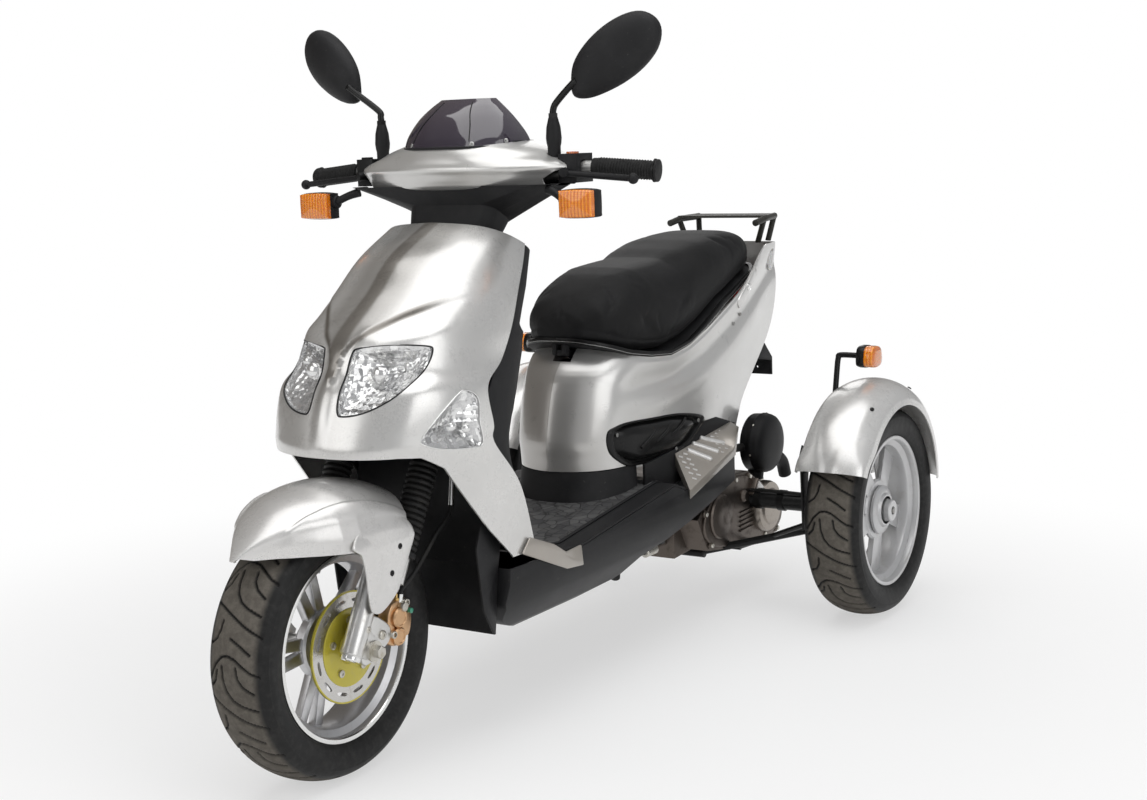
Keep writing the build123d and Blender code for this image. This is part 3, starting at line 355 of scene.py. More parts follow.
# ---- mesh helpers ---------------------------------------------------------------------------------
def link(name, mesh, material):
    """A new object at the origin with one material."""
    piece = bpy.data.objects.new(name, mesh)
    bpy.context.scene.collection.objects.link(piece)
    if material:
        mesh.materials.append(finish(material))
    return piece


def smooth(piece, degrees=35.0):
    piece.data.shade_smooth()
    piece.data.set_sharp_from_angle(angle=math.radians(degrees))
    return piece


def apply_all(piece):
    """Turn live modifiers into plain mesh."""
    graph = bpy.context.evaluated_depsgraph_get()
    mesh = bpy.data.meshes.new_from_object(piece.evaluated_get(graph))
    old = piece.data
    piece.modifiers.clear()
    piece.data = mesh
    bpy.data.meshes.remove(old)
    return piece


def baked(name, shape):
    """The bmesh as a new mesh; the bmesh is freed."""
    mesh = bpy.data.meshes.new(name)
    shape.to_mesh(mesh)
    shape.free()
    return mesh


def discard(piece):
    """Take an object and its mesh out of the file."""
    mesh = piece.data
    bpy.data.objects.remove(piece)
    bpy.data.meshes.remove(mesh)


def bevelled(piece, width, segments, degrees):
    """Soften every edge sharper than degrees; width in metres."""
    tool = piece.modifiers.new("edges", "BEVEL")
    tool.width = width
    tool.segments = segments
    tool.limit_method = "ANGLE"
    tool.angle_limit = math.radians(degrees)
    tool.harden_normals = False
    return apply_all(piece)


def walled(piece, thickness, offset=-1):
    """Give a skin an even wall (mm), inwards unless offset is 1."""
    tool = piece.modifiers.new("wall", "SOLIDIFY")
    tool.thickness = thickness * MM
    tool.offset = offset
    return apply_all(piece)


def refined(node, material, width):
    """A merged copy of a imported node, with edges softened by width (m)."""
    source = frame["nodes"][node]
    shape = bmesh.new()
    shape.from_mesh(source.data)
    bmesh.ops.remove_doubles(shape, verts=shape.verts, dist=1e-5)
    bmesh.ops.dissolve_limit(shape, angle_limit=math.radians(1.5), verts=shape.verts, edges=shape.edges)
    name = node + "_skin"
    piece = link(name, baked(name, shape), material)
    bevelled(piece, width, 2, 40)
    return smooth(piece, 40)


def settle(piece, body, slot, *nodes):
    """Ride on a body and stand for CAD nodes; slot is not used."""
    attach(piece, body)
    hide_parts(*nodes)
    return piece


def look_at(position, target):
    way = Vector(target) - Vector(position)
    return way.to_track_quat("-Z", "Y").to_euler()


# ---- stage -----------------------------------------------------------------------------------------
class StageSettings(bpy.types.PropertyGroup):
    """Camera and light."""
    lens: bpy.props.FloatProperty(name="Lens", description="Focal length of the camera", default=53.78,
                                  unit="CAMERA")
    camera_place: bpy.props.FloatVectorProperty(
        name="Camera place", description="Where the camera stands", default=(1.99373, -2.93527, 1.13107),
        subtype="TRANSLATION", unit="LENGTH")
    yaw: bpy.props.FloatProperty(name="Yaw", description="Camera turned to its left", default=0.57417347,
                                 subtype="ANGLE")
    pitch: bpy.props.FloatProperty(name="Pitch", description="Camera turned down", default=0.15612575,
        subtype="ANGLE")
    roll: bpy.props.FloatProperty(name="Roll", description="Camera tipped", default=-0.03711765,
                                  subtype="ANGLE")
    key_light: bpy.props.FloatProperty(name="Key light", description="Power of the large overhead lamp",
        default=62.0, unit="POWER")
    fill_light: bpy.props.FloatProperty(name="Fill light", description="Power of the side lamps",
        default=26.0, unit="POWER")


class SCOOTER_OT_stage(bpy.types.Operator):
    """Build the floor, the lights and the camera"""
    bl_idname = "scooter.stage"
    bl_label = "Stage"

    def execute(self, context):
        settings = context.scene.scooter_stage
        self.add_floor()
        self.add_lights(settings)
        self.add_world()
        self.add_camera(settings)
        context.scene.view_settings.view_transform = "Standard"
        return {"FINISHED"}

    def add_floor(self):
        shape = bmesh.new()
        bmesh.ops.create_grid(shape, x_segments=1, y_segments=1, size=14)
        floor = link("floor", baked("floor", shape), None)
        ground = Finish("pale floor", Roughness=0.9, Specular_IOR_Level=0.2)
        path = ground.tree.nodes.new("ShaderNodeLightPath")
        camera_ray = Wire(ground, path.outputs["Is Camera Ray"])
        seen = camera_ray.math("MAXIMUM", camera_ray, Wire(ground, path.outputs["Is Glossy Ray"]))
        glow = ground.tree.nodes.new("ShaderNodeEmission")
        mixed = ground.tree.nodes.new("ShaderNodeMixShader")
        reach = ground.node("ShaderNodeVectorMath", {"operation": "LENGTH"}, {0: ground.place}, "Value")
        far = ground.step(reach, 0.7, 2.1)
        ground.feed(mixed.inputs[0], seen * (far * 0.45 + 0.55))
        ground.tree.links.new(ground.shader.outputs[0], mixed.inputs[1])
        ground.tree.links.new(glow.outputs[0], mixed.inputs[2])
        output = next(n for n in ground.tree.nodes if n.type == "OUTPUT_MATERIAL")
        ground.tree.links.new(mixed.outputs[0], output.inputs[0])
        ground.surface(Base_Color=ground.blend(ground.noise(0.7) * 0.1, (0.9, 0.9, 0.9), (0.86, 0.86, 0.86)))
        floor.data.materials.append(ground.material)

    def add_lights(self, settings):
        lamps = (
            ("overhead", (0.3, -0.4, 3.4), (0, 0, 0.4), 3.2, settings.key_light),
            ("left side", (3.2, -1.2, 1.9), (0, 0, 0.6), 2.2, settings.fill_light),
            ("front", (-1.4, -3.6, 2.1), (0, -0.2, 0.6), 2.4, settings.fill_light * 1.15),
            ("rear", (-1.8, 3.2, 2.4), (0, 0, 0.7), 2.2, settings.fill_light * 0.8),
        )
        for name, place, target, size, power in lamps:
            lamp = bpy.data.lights.new(name, "AREA")
            lamp.size = size
            lamp.energy = power
            holder = bpy.data.objects.new(name, lamp)
            holder.location = place
            holder.rotation_euler = look_at(place, target)
            bpy.context.scene.collection.objects.link(holder)

    def add_world(self):
        world = bpy.data.worlds.new("studio")
        world.use_nodes = True
        tree = world.node_tree
        tree.nodes.clear()
        output = tree.nodes.new("ShaderNodeOutputWorld")
        soft = tree.nodes.new("ShaderNodeBackground")
        soft.inputs[1].default_value = 0.42
        place = tree.nodes.new("ShaderNodeTexCoord")
        split = tree.nodes.new("ShaderNodeSeparateXYZ")
        sky = tree.nodes.new("ShaderNodeValToRGB")
        level = tree.nodes.new("ShaderNodeMapRange")
        level.inputs["From Min"].default_value = -0.75
        level.inputs["From Max"].default_value = 0.35
        for element, colour in zip(sky.color_ramp.elements, ((0.3, 0.265, 0.23, 1), (0.97, 0.98, 1.0, 1))):
            element.color = colour
        tree.links.new(place.outputs["Generated"], split.inputs[0])
        tree.links.new(split.outputs[0], level.inputs["Value"])
        tree.links.new(level.outputs[0], sky.inputs[0])
        tree.links.new(sky.outputs[0], soft.inputs[0])
        white = tree.nodes.new("ShaderNodeBackground")
        white.inputs[0].default_value = (1, 1, 1, 1)
        white.inputs[1].default_value = 1.0
        path = tree.nodes.new("ShaderNodeLightPath")
        mixed = tree.nodes.new("ShaderNodeMixShader")
        tree.links.new(path.outputs["Is Camera Ray"], mixed.inputs[0])
        tree.links.new(soft.outputs[0], mixed.inputs[1])
        tree.links.new(white.outputs[0], mixed.inputs[2])
        tree.links.new(mixed.outputs[0], output.inputs[0])
        bpy.context.scene.world = world

    def add_camera(self, settings):
        data = bpy.data.cameras.new("camera")
        data.lens = settings.lens
        data.sensor_width = 36
        camera = bpy.data.objects.new("camera", data)
        yaw, pitch, roll = settings.yaw, settings.pitch, settings.roll
        right = Vector((math.cos(yaw), math.sin(yaw), 0))
        ahead = Vector((-math.sin(yaw) * math.cos(pitch), math.cos(yaw) * math.cos(pitch), -math.sin(pitch)))
        above = right.cross(ahead)
        across = right * math.cos(roll) + above * math.sin(roll)
        upward = above * math.cos(roll) - right * math.sin(roll)
        turn = Matrix((across, upward, -ahead)).transposed()
        camera.matrix_world = Matrix.Translation(settings.camera_place) @ turn.to_4x4()
        bpy.context.scene.collection.objects.link(camera)
        bpy.context.scene.camera = camera


# ---- shapes -----------------------------------------------------------------------------------------
def vec(x, y, z):
    return Vector((x * MM, y * MM, z * MM))


def catmull(points, steps):
    """A smooth run of points through the given ones."""
    points = [Vector(p) for p in points]
    ends = [points[0] * 2 - points[1]] + points + [points[-1] * 2 - points[-2]]
    run = []
    for i in range(1, len(ends) - 2):
        a, b, c, d = ends[i - 1:i + 3]
        for step in range(steps):
            t = step / steps
            run.append(0.5 * (2 * b + (c - a) * t + (2 * a - 5 * b + 4 * c - d) * t * t
                              + (3 * b - a - 3 * c + d) * t ** 3))
    run.append(points[-1])
    return run


def catmull_row(rows, steps):
    """The same between rows of plain numbers."""
    columns = [catmull([Vector((row[k], 0, 0)) for row in rows], steps) for k in range(len(rows[0]))]
    return [[column[i].x for column in columns] for i in range(len(columns[0]))]


def grid_mesh(name, rows, wrap_rows=False, wrap_columns=False):
    """A quad skin over rows of points."""
    count = len(rows[0])
    points = [p for row in rows for p in row]
    faces = []
    for i in range(len(rows) if wrap_rows else len(rows) - 1):
        for j in range(count if wrap_columns else count - 1):
            k, m = (i + 1) % len(rows), (j + 1) % count
            faces.append((i * count + j, i * count + m, k * count + m, k * count + j))
    mesh = bpy.data.meshes.new(name)
    mesh.from_pydata([tuple(p) for p in points], [], faces)
    return mesh


def closed(mesh):
    """Fill the open ends and point the faces outwards."""
    shape = bmesh.new()
    shape.from_mesh(mesh)
    bmesh.ops.holes_fill(shape, edges=[e for e in shape.edges if e.is_boundary])
    bmesh.ops.recalc_face_normals(shape, faces=shape.faces)
    shape.to_mesh(mesh)
    shape.free()
    return mesh


def outward(mesh):
    """Merge doubles and point the faces outwards."""
    shape = bmesh.new()
    shape.from_mesh(mesh)
    bmesh.ops.remove_doubles(shape, verts=shape.verts, dist=1e-6)
    bmesh.ops.recalc_face_normals(shape, faces=shape.faces)
    shape.to_mesh(mesh)
    shape.free()
    return mesh


def lathe(name, profile, centre, material, turns=96, axis="X"):
    """A closed section (along, radius), in mm, turned about an axis through centre (mm)."""
    rows = []
    for i in range(turns):
        a = 2 * math.pi * i / turns
        row = []
        for along, radius in profile:
            if axis == "X":
                offset = (along, radius * math.sin(a), radius * math.cos(a))
            elif axis == "Y":
                offset = (radius * math.cos(a), along, radius * math.sin(a))
            else:
                offset = (radius * math.cos(a), radius * math.sin(a), along)
            row.append(vec(*(c + o for c, o in zip(centre, offset))))
        rows.append(row)
    piece = link(name, outward(grid_mesh(name, rows, wrap_rows=True, wrap_columns=True)), material)
    return smooth(piece, 32)


def tube(name, points, radius, material, sides=16, steps=6, taper=None, smooth_path=True):
    """A round tube (mm) with closed ends along a smooth path."""
    path = [vec(*p) for p in points]
    if smooth_path and len(points) > 2:
        path = catmull(path, steps)
    rows = []
    way = (path[1] - path[0]).normalized()
    side = way.orthogonal().normalized()
    for i, point in enumerate(path):
        ahead = (path[min(i + 1, len(path) - 1)] - path[max(i - 1, 0)]).normalized()
        side = (side - ahead * side.dot(ahead)).normalized()
        other = ahead.cross(side)
        size = radius * MM * (taper(i / (len(path) - 1)) if taper else 1)
        rows.append([point + (side * math.cos(a) + other * math.sin(a)) * size
                     for a in (2 * math.pi * k / sides for k in range(sides))])
    return smooth(link(name, closed(grid_mesh(name, rows, wrap_columns=True)), material), 40)


def slab(name, outline, low, high, axis, material, width=0.8, segments=2):
    """A flat outline (mm) run along an axis between two levels, with softened edges."""
    def place(a, b, level):
        return {"X": vec(level, a, b), "Y": vec(a, level, b), "Z": vec(a, b, level)}[axis]
    shape = bmesh.new()
    base = [shape.verts.new(place(a, b, low)) for a, b in outline]
    face = shape.faces.new(base)
    moved = bmesh.ops.extrude_face_region(shape, geom=[face])
    lift = place(0, 0, high) - place(0, 0, low)
    bmesh.ops.translate(shape, verts=[v for v in moved["geom"] if isinstance(v, bmesh.types.BMVert)],
                        vec=lift)
    bmesh.ops.recalc_face_normals(shape, faces=shape.faces)
    piece = link(name, baked(name, shape), material)
    if width:
        bevelled(piece, width * MM, segments, 30)
    return smooth(piece, 35)


def join(name, pieces):
    """Several loose pieces as one object; each keeps its material."""
    shape = bmesh.new()
    materials = []
    for piece in pieces:
        shift = []
        for material in piece.data.materials:
            if material not in materials:
                materials.append(material)
            shift.append(materials.index(material))
        before = len(shape.faces)
        shape.from_mesh(piece.data)
        shape.faces.ensure_lookup_table()
        for face in shape.faces[before:]:
            face.material_index = shift[face.material_index] if shift else 0
    mesh = baked(name, shape)
    for material in materials:
        mesh.materials.append(material)
    for piece in pieces:
        discard(piece)
    return link(name, mesh, None)


def both_sides(piece):
    """Add the mirror image across the middle plane to a piece."""
    shape = bmesh.new()
    shape.from_mesh(piece.data)
    copy = bmesh.ops.duplicate(shape, geom=shape.verts[:] + shape.edges[:] + shape.faces[:])["geom"]
    bmesh.ops.scale(shape, vec=(-1, 1, 1), verts=[g for g in copy if isinstance(g, bmesh.types.BMVert)])
    bmesh.ops.reverse_faces(shape, faces=[g for g in copy if isinstance(g, bmesh.types.BMFace)])
    shape.to_mesh(piece.data)
    shape.free()
    return piece


def turned(piece, angle, axis, centre):
    """Turn a piece's mesh about an axis through centre (mm)."""
    move = Matrix.Translation(vec(*centre)) @ Matrix.Rotation(angle, 4,
        axis) @ Matrix.Translation(-vec(*centre))
    piece.data.transform(move)
    return piece


def around(maker, count, axis, centre, start=0.0):
    """Copies of a piece spaced round an axis."""
    return [turned(maker(), start + 2 * math.pi * i / count, axis, centre) for i in range(count)]


# ---- wheels -----------------------------------------------------------------------------------------
FRONT_CENTRE = (0.0, -700.0, 243.0)
REAR_CENTRES = {"left": (460.0, 680.0, 243.0), "right": (-460.0, 680.0, 243.0)}
TREAD_RADIUS = 242
TYRE_STEPS = 630
TYRE_SECTION = [(50, 172.5), (54, 174.5), (59, 181), (63, 191), (64.6, 200), (65, 207), (64.4, 214),
                (62.6, 220), (59.6, 225.2), (57, 227.8), (52, 231.4), (44, 235.2), (34, 238.6), (22, 241.2),
                (10, 242.7), (0, 243)]


class WheelSettings(bpy.types.PropertyGroup):
    """Wheels and tyres."""
    groove_count: bpy.props.IntProperty(name="Tread pitches",
        description="Groove groups round a tyre", default=9)
    groove_width: bpy.props.FloatProperty(name="Groove width", description="Width of a tread groove",
        default=0.0042, unit="LENGTH")
    groove_depth: bpy.props.FloatProperty(name="Groove depth", description="Depth of a tread groove",
        default=0.005, unit="LENGTH")
    spoke_pairs: bpy.props.IntProperty(name="Front spoke pairs",
        description="Pairs of spokes in the front rim", default=5)
    rear_spokes: bpy.props.IntProperty(name="Rear spokes",
        description="Broad spokes in a rear rim", default=5)


GROOVES = [
    [(-52, 44), (-35, 17), (-20, 3), (-7, 0), (10, 5), (26, 16), (40, 26), (56, 32)],
    [(38, -6), (20, -18), (-2, -29)],
    [(57, -36), (40, -44), (22, -52), (-6, -67), (-30, -79), (-54, -90)],
    [(46, -74), (20, -83), (4, -92), (-8, -106), (-15, -124), (-18, -150)],
    [(44, -106), (26, -118), (16, -132), (13, -150)],
    [(-50, -18), (-36, -27), (-28, -42), (-26, -58)], [(-48, -112), (-36, -124), (-31, -142)],
]


def groove_cut(across, along_tread, pitch, half_width):
    """How deep the tread is cut, from 0 to 1, at a place in one pitch of the pattern (mm)."""
    nearest = 99.0
    for line in GROOVES:
        for (xa, sa), (xb, sb) in zip(line, line[1:]):
            for shift in (-pitch, 0, pitch):
                dx, ds = xb - xa, sb - sa
                t = ((across - xa) * dx + (along_tread + shift - sa) * ds) / (dx * dx + ds * ds)
                t = min(1, max(0, t))
                nearest = min(nearest, math.hypot(across - xa - dx * t, along_tread + shift - sa - ds * t))
    return 1 - ease(nearest, half_width * 0.6, half_width * 1.5)


def tyre_piece(name, centre, settings):
    """A road tyre with cut grooves, moulded wall rings and bead edges."""
    half = catmull([Vector((x, r, 0)) for x, r in TYRE_SECTION], 3)
    tread = []
    ordered = [(p.x, p.y) for p in half]
    for step in range(71):
        x = -56 + 112 * step / 70

        def distance(k):
            middle = (ordered[k][0] + ordered[k + 1][0]) / 2
            return abs(middle - abs(x)) + (0 if ordered[k][1] > 226 else 99)
        near = min(range(len(ordered) - 1), key=distance)
        (x0, r0), (x1, r1) = ordered[near], ordered[near + 1]
        t = min(1, max(0, (abs(x) - x0) / (x1 - x0))) if x1 != x0 else 0
        tread.append((x, r0 + (r1 - r0) * t))
    wall = [(p.x, p.y) for p in half if p.x > 56.5 or p.y < 226]
    ringed = []
    for x, r in wall:
        ridge = 0.7 if 177 < r < 179.5 or 205 < r < 207 or 215.5 < r < 216.8 else 0
        ringed.append((x + ridge, r))
    inner = [(44, 170), (46, 176), (54, 196), (55, 210), (46, 224), (0, 232), (-46, 224), (-55, 210),
             (-54, 196), (-46, 176), (-44, 170)]
    section = [(-x, r) for x, r in ringed] + tread + ringed[::-1] + [(49, 168.5)] + inner + [(-49, 168.5)]
    first_tread = len(ringed)
    points = []
    wear = []
    steps = TYRE_STEPS // settings.groove_count
    pitch = 2 * math.pi * TREAD_RADIUS / settings.groove_count
    half_groove = settings.groove_width * 500
    pattern = [[groove_cut(x, -pitch * i / steps, pitch, half_groove) for x, _ in tread]
               for i in range(steps)]
    for i in range(TYRE_STEPS):
        a = 2 * math.pi * i / TYRE_STEPS
        sin_a, cos_a = math.sin(a), math.cos(a)
        for j, (x, r) in enumerate(section):
            worn = 0.0
            if first_tread <= j < first_tread + len(tread):
                groove = pattern[i % steps][j - first_tread]
                r -= groove * settings.groove_depth * 1000
                edge = min(1, max(0, (54 - abs(x)) / 10))
                worn = (1 - groove) * edge
            points.append((centre[0] * MM + x * MM, centre[1] * MM + r * sin_a * MM,
                           centre[2] * MM + r * cos_a * MM))
            wear.append(worn)
    size = len(section)
    faces = []
    for i in range(TYRE_STEPS):
        k = (i + 1) % TYRE_STEPS
        for j in range(size):
            m = (j + 1) % size
            faces.append((i * size + j, k * size + j, k * size + m, i * size + m))
    mesh = bpy.data.meshes.new(name)
    mesh.from_pydata(points, [], faces)
    mesh.attributes.new("tread", "FLOAT", "POINT").data.foreach_set("value", wear)
    shape = bmesh.new()
    shape.from_mesh(mesh)
    bmesh.ops.recalc_face_normals(shape, faces=shape.faces)
    shape.to_mesh(mesh)
    shape.free()
    piece = link(name, mesh, "tyre")
    return smooth(piece, 50)


def spoke_bar(name, inner, outer, width_in, width_out, x_in, x_out, depth, centre, material, lean=0.0):
    """One cast spoke from hub to barrel, standing up from the axle before it is turned."""
    shape = bmesh.new()
    rows = []
    middle = ((inner + outer) / 2, (width_in + width_out) / 4, (x_in + x_out) / 2)
    for radius, half, mid in ((inner, width_in / 2, x_in), middle, (outer, width_out / 2, x_out)):
        t = (radius - inner) / (outer - inner)
        sway = lean * t
        rows.append([(mid - depth / 2, sway - half * 0.8, radius), (mid + depth / 2, sway - half, radius),
                     (mid + depth / 2, sway + half, radius), (mid - depth / 2, sway + half * 0.8, radius)])
    verts = [[shape.verts.new(vec(centre[0] + x, centre[1] + y, centre[2] + z)) for x, y, z in row]
             for row in rows]
    for a, b in zip(verts, verts[1:]):
        for k in range(4):
            shape.faces.new((a[k], a[(k + 1) % 4], b[(k + 1) % 4], b[k]))
    shape.faces.new(verts[0][::-1])
    shape.faces.new(verts[-1])
    bmesh.ops.recalc_face_normals(shape, faces=shape.faces)
    piece = link(name, baked(name, shape), material)
    bevelled(piece, 0.0022, 3, 25)
    return smooth(piece, 40)


def barrel(name, centre, material, lip_material):
    """Rim barrel with its drop centre, and the rounded outer lips as a second finish."""
    body = [(-53.4, 171.2), (-50.2, 171.6), (-49.6, 168), (-38, 167.6), (-30, 154), (-26, 152), (26, 152),
            (30, 154), (38, 167.6), (49.6, 168), (50.2, 171.6), (53.4, 171.2), (53.8, 166), (50, 163.4),
            (40, 162), (33, 150), (28, 147.6), (-28, 147.6), (-33, 150), (-40, 162), (-50, 163.4),
            (-53.8, 166)]
    lips = []
    edge = [(50.4, 171.8), (52.2, 172.6), (54, 171.6), (54.4, 168), (53.9, 164.4), (52, 162.9), (51, 166)]
    for side in (-1, 1):
        lip = [(side * x, r) for x, r in edge]
        lips.append(lathe(f"{name}_lip", lip, centre, lip_material, 128))
    return [lathe(name, body, centre, material, 128)] + lips


def front_rim_piece(settings):
    centre = FRONT_CENTRE
    parts = barrel("front_rim_barrel", centre, "alloy", "bright alloy")
    hub = [(-50, 9), (-50, 22), (-44, 30), (-34, 33), (-20, 33.5), (-12, 36), (4, 36), (12, 33.5),
           (34, 33.5), (48, 33), (48, 9)]
    parts.append(lathe("front_rim_hub", hub, centre, "alloy", 64))
    for lean in (-14, 14):
        root = (centre[0], centre[1] + lean * 0.6, centre[2])

        def spoke():
            return spoke_bar("spoke", 30, 150, 24, 19, -8, -12, 20, root, "alloy", lean)
        parts += around(spoke, settings.spoke_pairs, "X", centre, 0.3)
    web = [(-16, 33), (-16, 60), (-12, 64), (4, 64), (8, 60), (8, 33)]
    parts.append(lathe("front_rim_web", web, centre, "alloy", 64))
    return join("front_rim_casting", parts)


def rear_rim_piece(side_name, settings):
    centre = REAR_CENTRES[side_name]
    out = 1 if side_name == "left" else -1
    parts = barrel(f"rear_{side_name}_barrel", centre, "rear alloy", "rear alloy")
    hub = [(out * x, r) for x, r in ((-37, 15), (-37, 40), (-30, 45), (14, 46), (24, 44), (30, 38),
            (40, 35), (41, 32), (41, 15))]
    parts.append(lathe(f"rear_{side_name}_hub", hub, centre, "rear alloy", 64))
    web = [(out * x, r) for x, r in ((4, 44), (6, 66), (10, 70), (16, 70), (20, 66), (22, 44))]
    parts.append(lathe(f"rear_{side_name}_web", web, centre, "rear alloy", 64))
    bolt = [(out * x, r) for x, r in ((18, 0.01), (27, 0.01), (27, 4.6), (26, 5.4), (18, 5.4))]
    bolt_place = (centre[0], centre[1], centre[2] + 27)

    def spoke():
        return spoke_bar("spoke", 44, 151, 46, 58, out * 13, out * 4, 16, centre, "rear alloy")
    parts += around(spoke, settings.rear_spokes, "X", centre, 0.62)
    parts += around(lambda: lathe("hub_bolt", bolt, bolt_place, "zinc", 6), 4, "X", centre, 0.4)
    cap = [(out * x, r) for x, r in ((24, 40), (24, 56), (30, 56), (33, 52), (35, 40), (41, 36),
            (41, 26), (34, 24))]
    parts.append(lathe(f"rear_{side_name}_cap", cap, centre, "rear alloy", 48))
    return join(f"rear_{side_name}_rim_casting", parts)


class SCOOTER_OT_wheels(bpy.types.Operator):
    """Build the tyres and rims"""
    bl_idname = "scooter.wheels"
    bl_label = "Wheels"

    def execute(self, context):
        settings = context.scene.scooter_wheels
        settle(tyre_piece("front_road_tyre", FRONT_CENTRE, settings), "front_wheel", "tyre", "front_tyre")
        settle(front_rim_piece(settings), "front_wheel", "alloy", "front_rim")
        for side_name, centre in REAR_CENTRES.items():
            tyre = tyre_piece(f"rear_{side_name}_road_tyre", centre, settings)
            settle(tyre, f"rear_{side_name}_wheel", "tyre", f"rear_{side_name}_tyre")
            settle(rear_rim_piece(side_name, settings), f"rear_{side_name}_wheel", "alloy",
                   f"rear_{side_name}_rim")
        return {"FINISHED"}


# ---- skins over the body's own curves ----------------------------------------------------------------
RAKE = math.radians(29)


def steered(x, y, z):
    """A place given along the steering axis (y back, z up the axis), in mm."""
    return (x, -656.27 + y * math.cos(RAKE) + z * math.sin(RAKE),
            218.76 - y * math.sin(RAKE) + z * math.cos(RAKE))


def at(line, value):
    """The second number of a polyline where its first is value."""
    if value <= line[0][0]:
        return line[0][1]
    for (a, low), (b, high) in zip(line, line[1:]):
        if value <= b:
            return low + (high - low) * (value - a) / (b - a)
    return line[-1][1]


def ease(value, low, high):
    t = min(1.0, max(0.0, (value - low) / (high - low)))
    return t * t * (3 - 2 * t)


class Bow:
    """A bowed skin given by rows: height, half width, y at the middle, y at the edge."""

    def __init__(self, rows, power=2.4):
        self.rows = catmull_row(rows, 8)
        self.power = power
        self.low, self.high = rows[0][0], rows[-1][0]

    def row(self, z):
        z = min(max(z, self.low), self.high)
        for first, second in zip(self.rows, self.rows[1:]):
            if z <= second[0]:
                t = (z - first[0]) / max(second[0] - first[0], 1e-6)
                return [a + (b - a) * t for a, b in zip(first, second)]
        return self.rows[-1]

    def at(self, across, z):
        """The place at across from -1 to 1, evenly spread round the bow."""
        _, half, front, side = self.row(z)
        turn = math.pi * (across + 1) / 2
        x = -math.copysign(abs(math.cos(turn)) ** (2 / self.power), math.cos(turn)) * half
        return (x, side - (side - front) * max(0, math.sin(turn)) ** (2 / self.power), z)

    def y(self, x, z):
        _, half, front, side = self.row(z)
        share = min(1.0, abs(x) / half)
        return side - (side - front) * (1 - share ** self.power) ** (1 / self.power)

    def x(self, y, z):
        _, half, front, side = self.row(z)
        share = min(1.0, max(0.0, (side - y) / (side - front)))
        return half * (1 - share ** self.power) ** (1 / self.power)


def shell(name, place, across, up, wall, material, flip=False, relief=None):
    """A skin of even wall through place(u, v), u and v from 0 to 1; relief moves it outwards."""
    rows = [[vec(*place(i / (across - 1), j / (up - 1))) for i in range(across)] for j in range(up)]
    if relief:
        lifted = []
        for j, row in enumerate(rows):
            line = []
            for i, point in enumerate(row):
                one = row[min(i + 1, across - 1)] - row[max(i - 1, 0)]
                two = rows[min(j + 1, up - 1)][i] - rows[max(j - 1, 0)][i]
                normal = one.cross(two).normalized() * (-1 if flip else 1)
                line.append(point + normal * relief(*(point / MM)) * MM)
            lifted.append(line)
        rows = lifted
    mesh = grid_mesh(name, rows)
    if flip:
        mesh.flip_normals()
    piece = link(name, mesh, material)
    if wall:
        walled(piece, wall)
    return smooth(piece, 40)


def cut(piece, tool):
    """Take a tool away from a piece."""
    step = piece.modifiers.new("cut", "BOOLEAN")
    step.operation = "DIFFERENCE"
    step.object = tool
    step.solver = "EXACT"
    apply_all(piece)
    discard(tool)
    return smooth(piece, 40)


def ring(points, steps=8):
    """A smooth closed outline through the points."""
    count = len(points)
    run = []
    for i in range(count):
        a, b, c, d = (Vector((*points[(i + k) % count], 0)) for k in (-1, 0, 1, 2))
        for step in range(steps):
            t = step / steps
            p = 0.5 * (2 * b + (c - a) * t + (2 * a - 5 * b + 4 * c - d) * t * t
                       + (3 * b - a - 3 * c + d) * t ** 3)
            run.append((p.x, p.y))
    return run


def swollen(outline, amount):
    """An outline moved outwards from its middle."""
    mid = [sum(p[k] for p in outline) / len(outline) for k in (0, 1)]
    moved = []
    for a, b in outline:
        reach = math.hypot(a - mid[0], b - mid[1])
        moved.append((a + (a - mid[0]) * amount / reach, b + (b - mid[1]) * amount / reach))
    return moved


def dish(name, outline, place, profile, material, flat=False, wobble=0.0, wall=0.0, flip=False):
    """Rings from an outline (a, b) in to its middle. profile gives (share of the way out, depth) and
    place(a, b, depth) the spot in mm."""
    mid = [sum(p[k] for p in outline) / len(outline) for k in (0, 1)]
    rows = []
    for k, (share, depth) in enumerate(profile):
        line = []
        for i, (a, b) in enumerate(outline):
            swing = wobble * (1 if (i + k) % 2 else -1) if 0 < k else 0
            line.append(vec(*place(mid[0] + (a - mid[0]) * share, mid[1] + (b - mid[1]) * share,
                                   depth + swing)))
        rows.append(line)
    mesh = grid_mesh(name, rows, wrap_columns=True)
    shape = bmesh.new()
    shape.from_mesh(mesh)
    shape.verts.ensure_lookup_table()
    shape.faces.new([shape.verts[(len(profile) - 1) * len(outline) + i] for i in range(len(outline))][::-1])
    bmesh.ops.recalc_face_normals(shape, faces=shape.faces)
    shape.to_mesh(mesh)
    shape.free()
    if flip:
        mesh.flip_normals()
    piece = link(name, mesh, material)
    if wall:
        walled(piece, wall)
    return piece if flat else smooth(piece, 35)


def gasket(name, outline, place, radius, material):
    """A round bead along a closed outline."""
    path = [vec(*place(a, b, 0)) for a, b in outline]
    rows = []
    count = len(path)
    for i, point in enumerate(path):
        ahead = (path[(i + 1) % count] - path[i - 1]).normalized()
        side = ahead.cross(Vector((0.3, -1, 0.2))).normalized()
        other = ahead.cross(side)
        rows.append([point + (side * math.cos(a) + other * math.sin(a)) * radius * MM
                     for a in (math.pi * k / 4 for k in range(8))])
    return smooth(link(name, outward(grid_mesh(name, rows, True, True)), material), 60)


def stamp(piece, name, value):
    """A number at every point, for the finish to read."""
    levels = [value(*(v.co / MM)) for v in piece.data.vertices]
    piece.data.attributes.new(name, "FLOAT", "POINT").data.foreach_set("value", levels)
    return piece


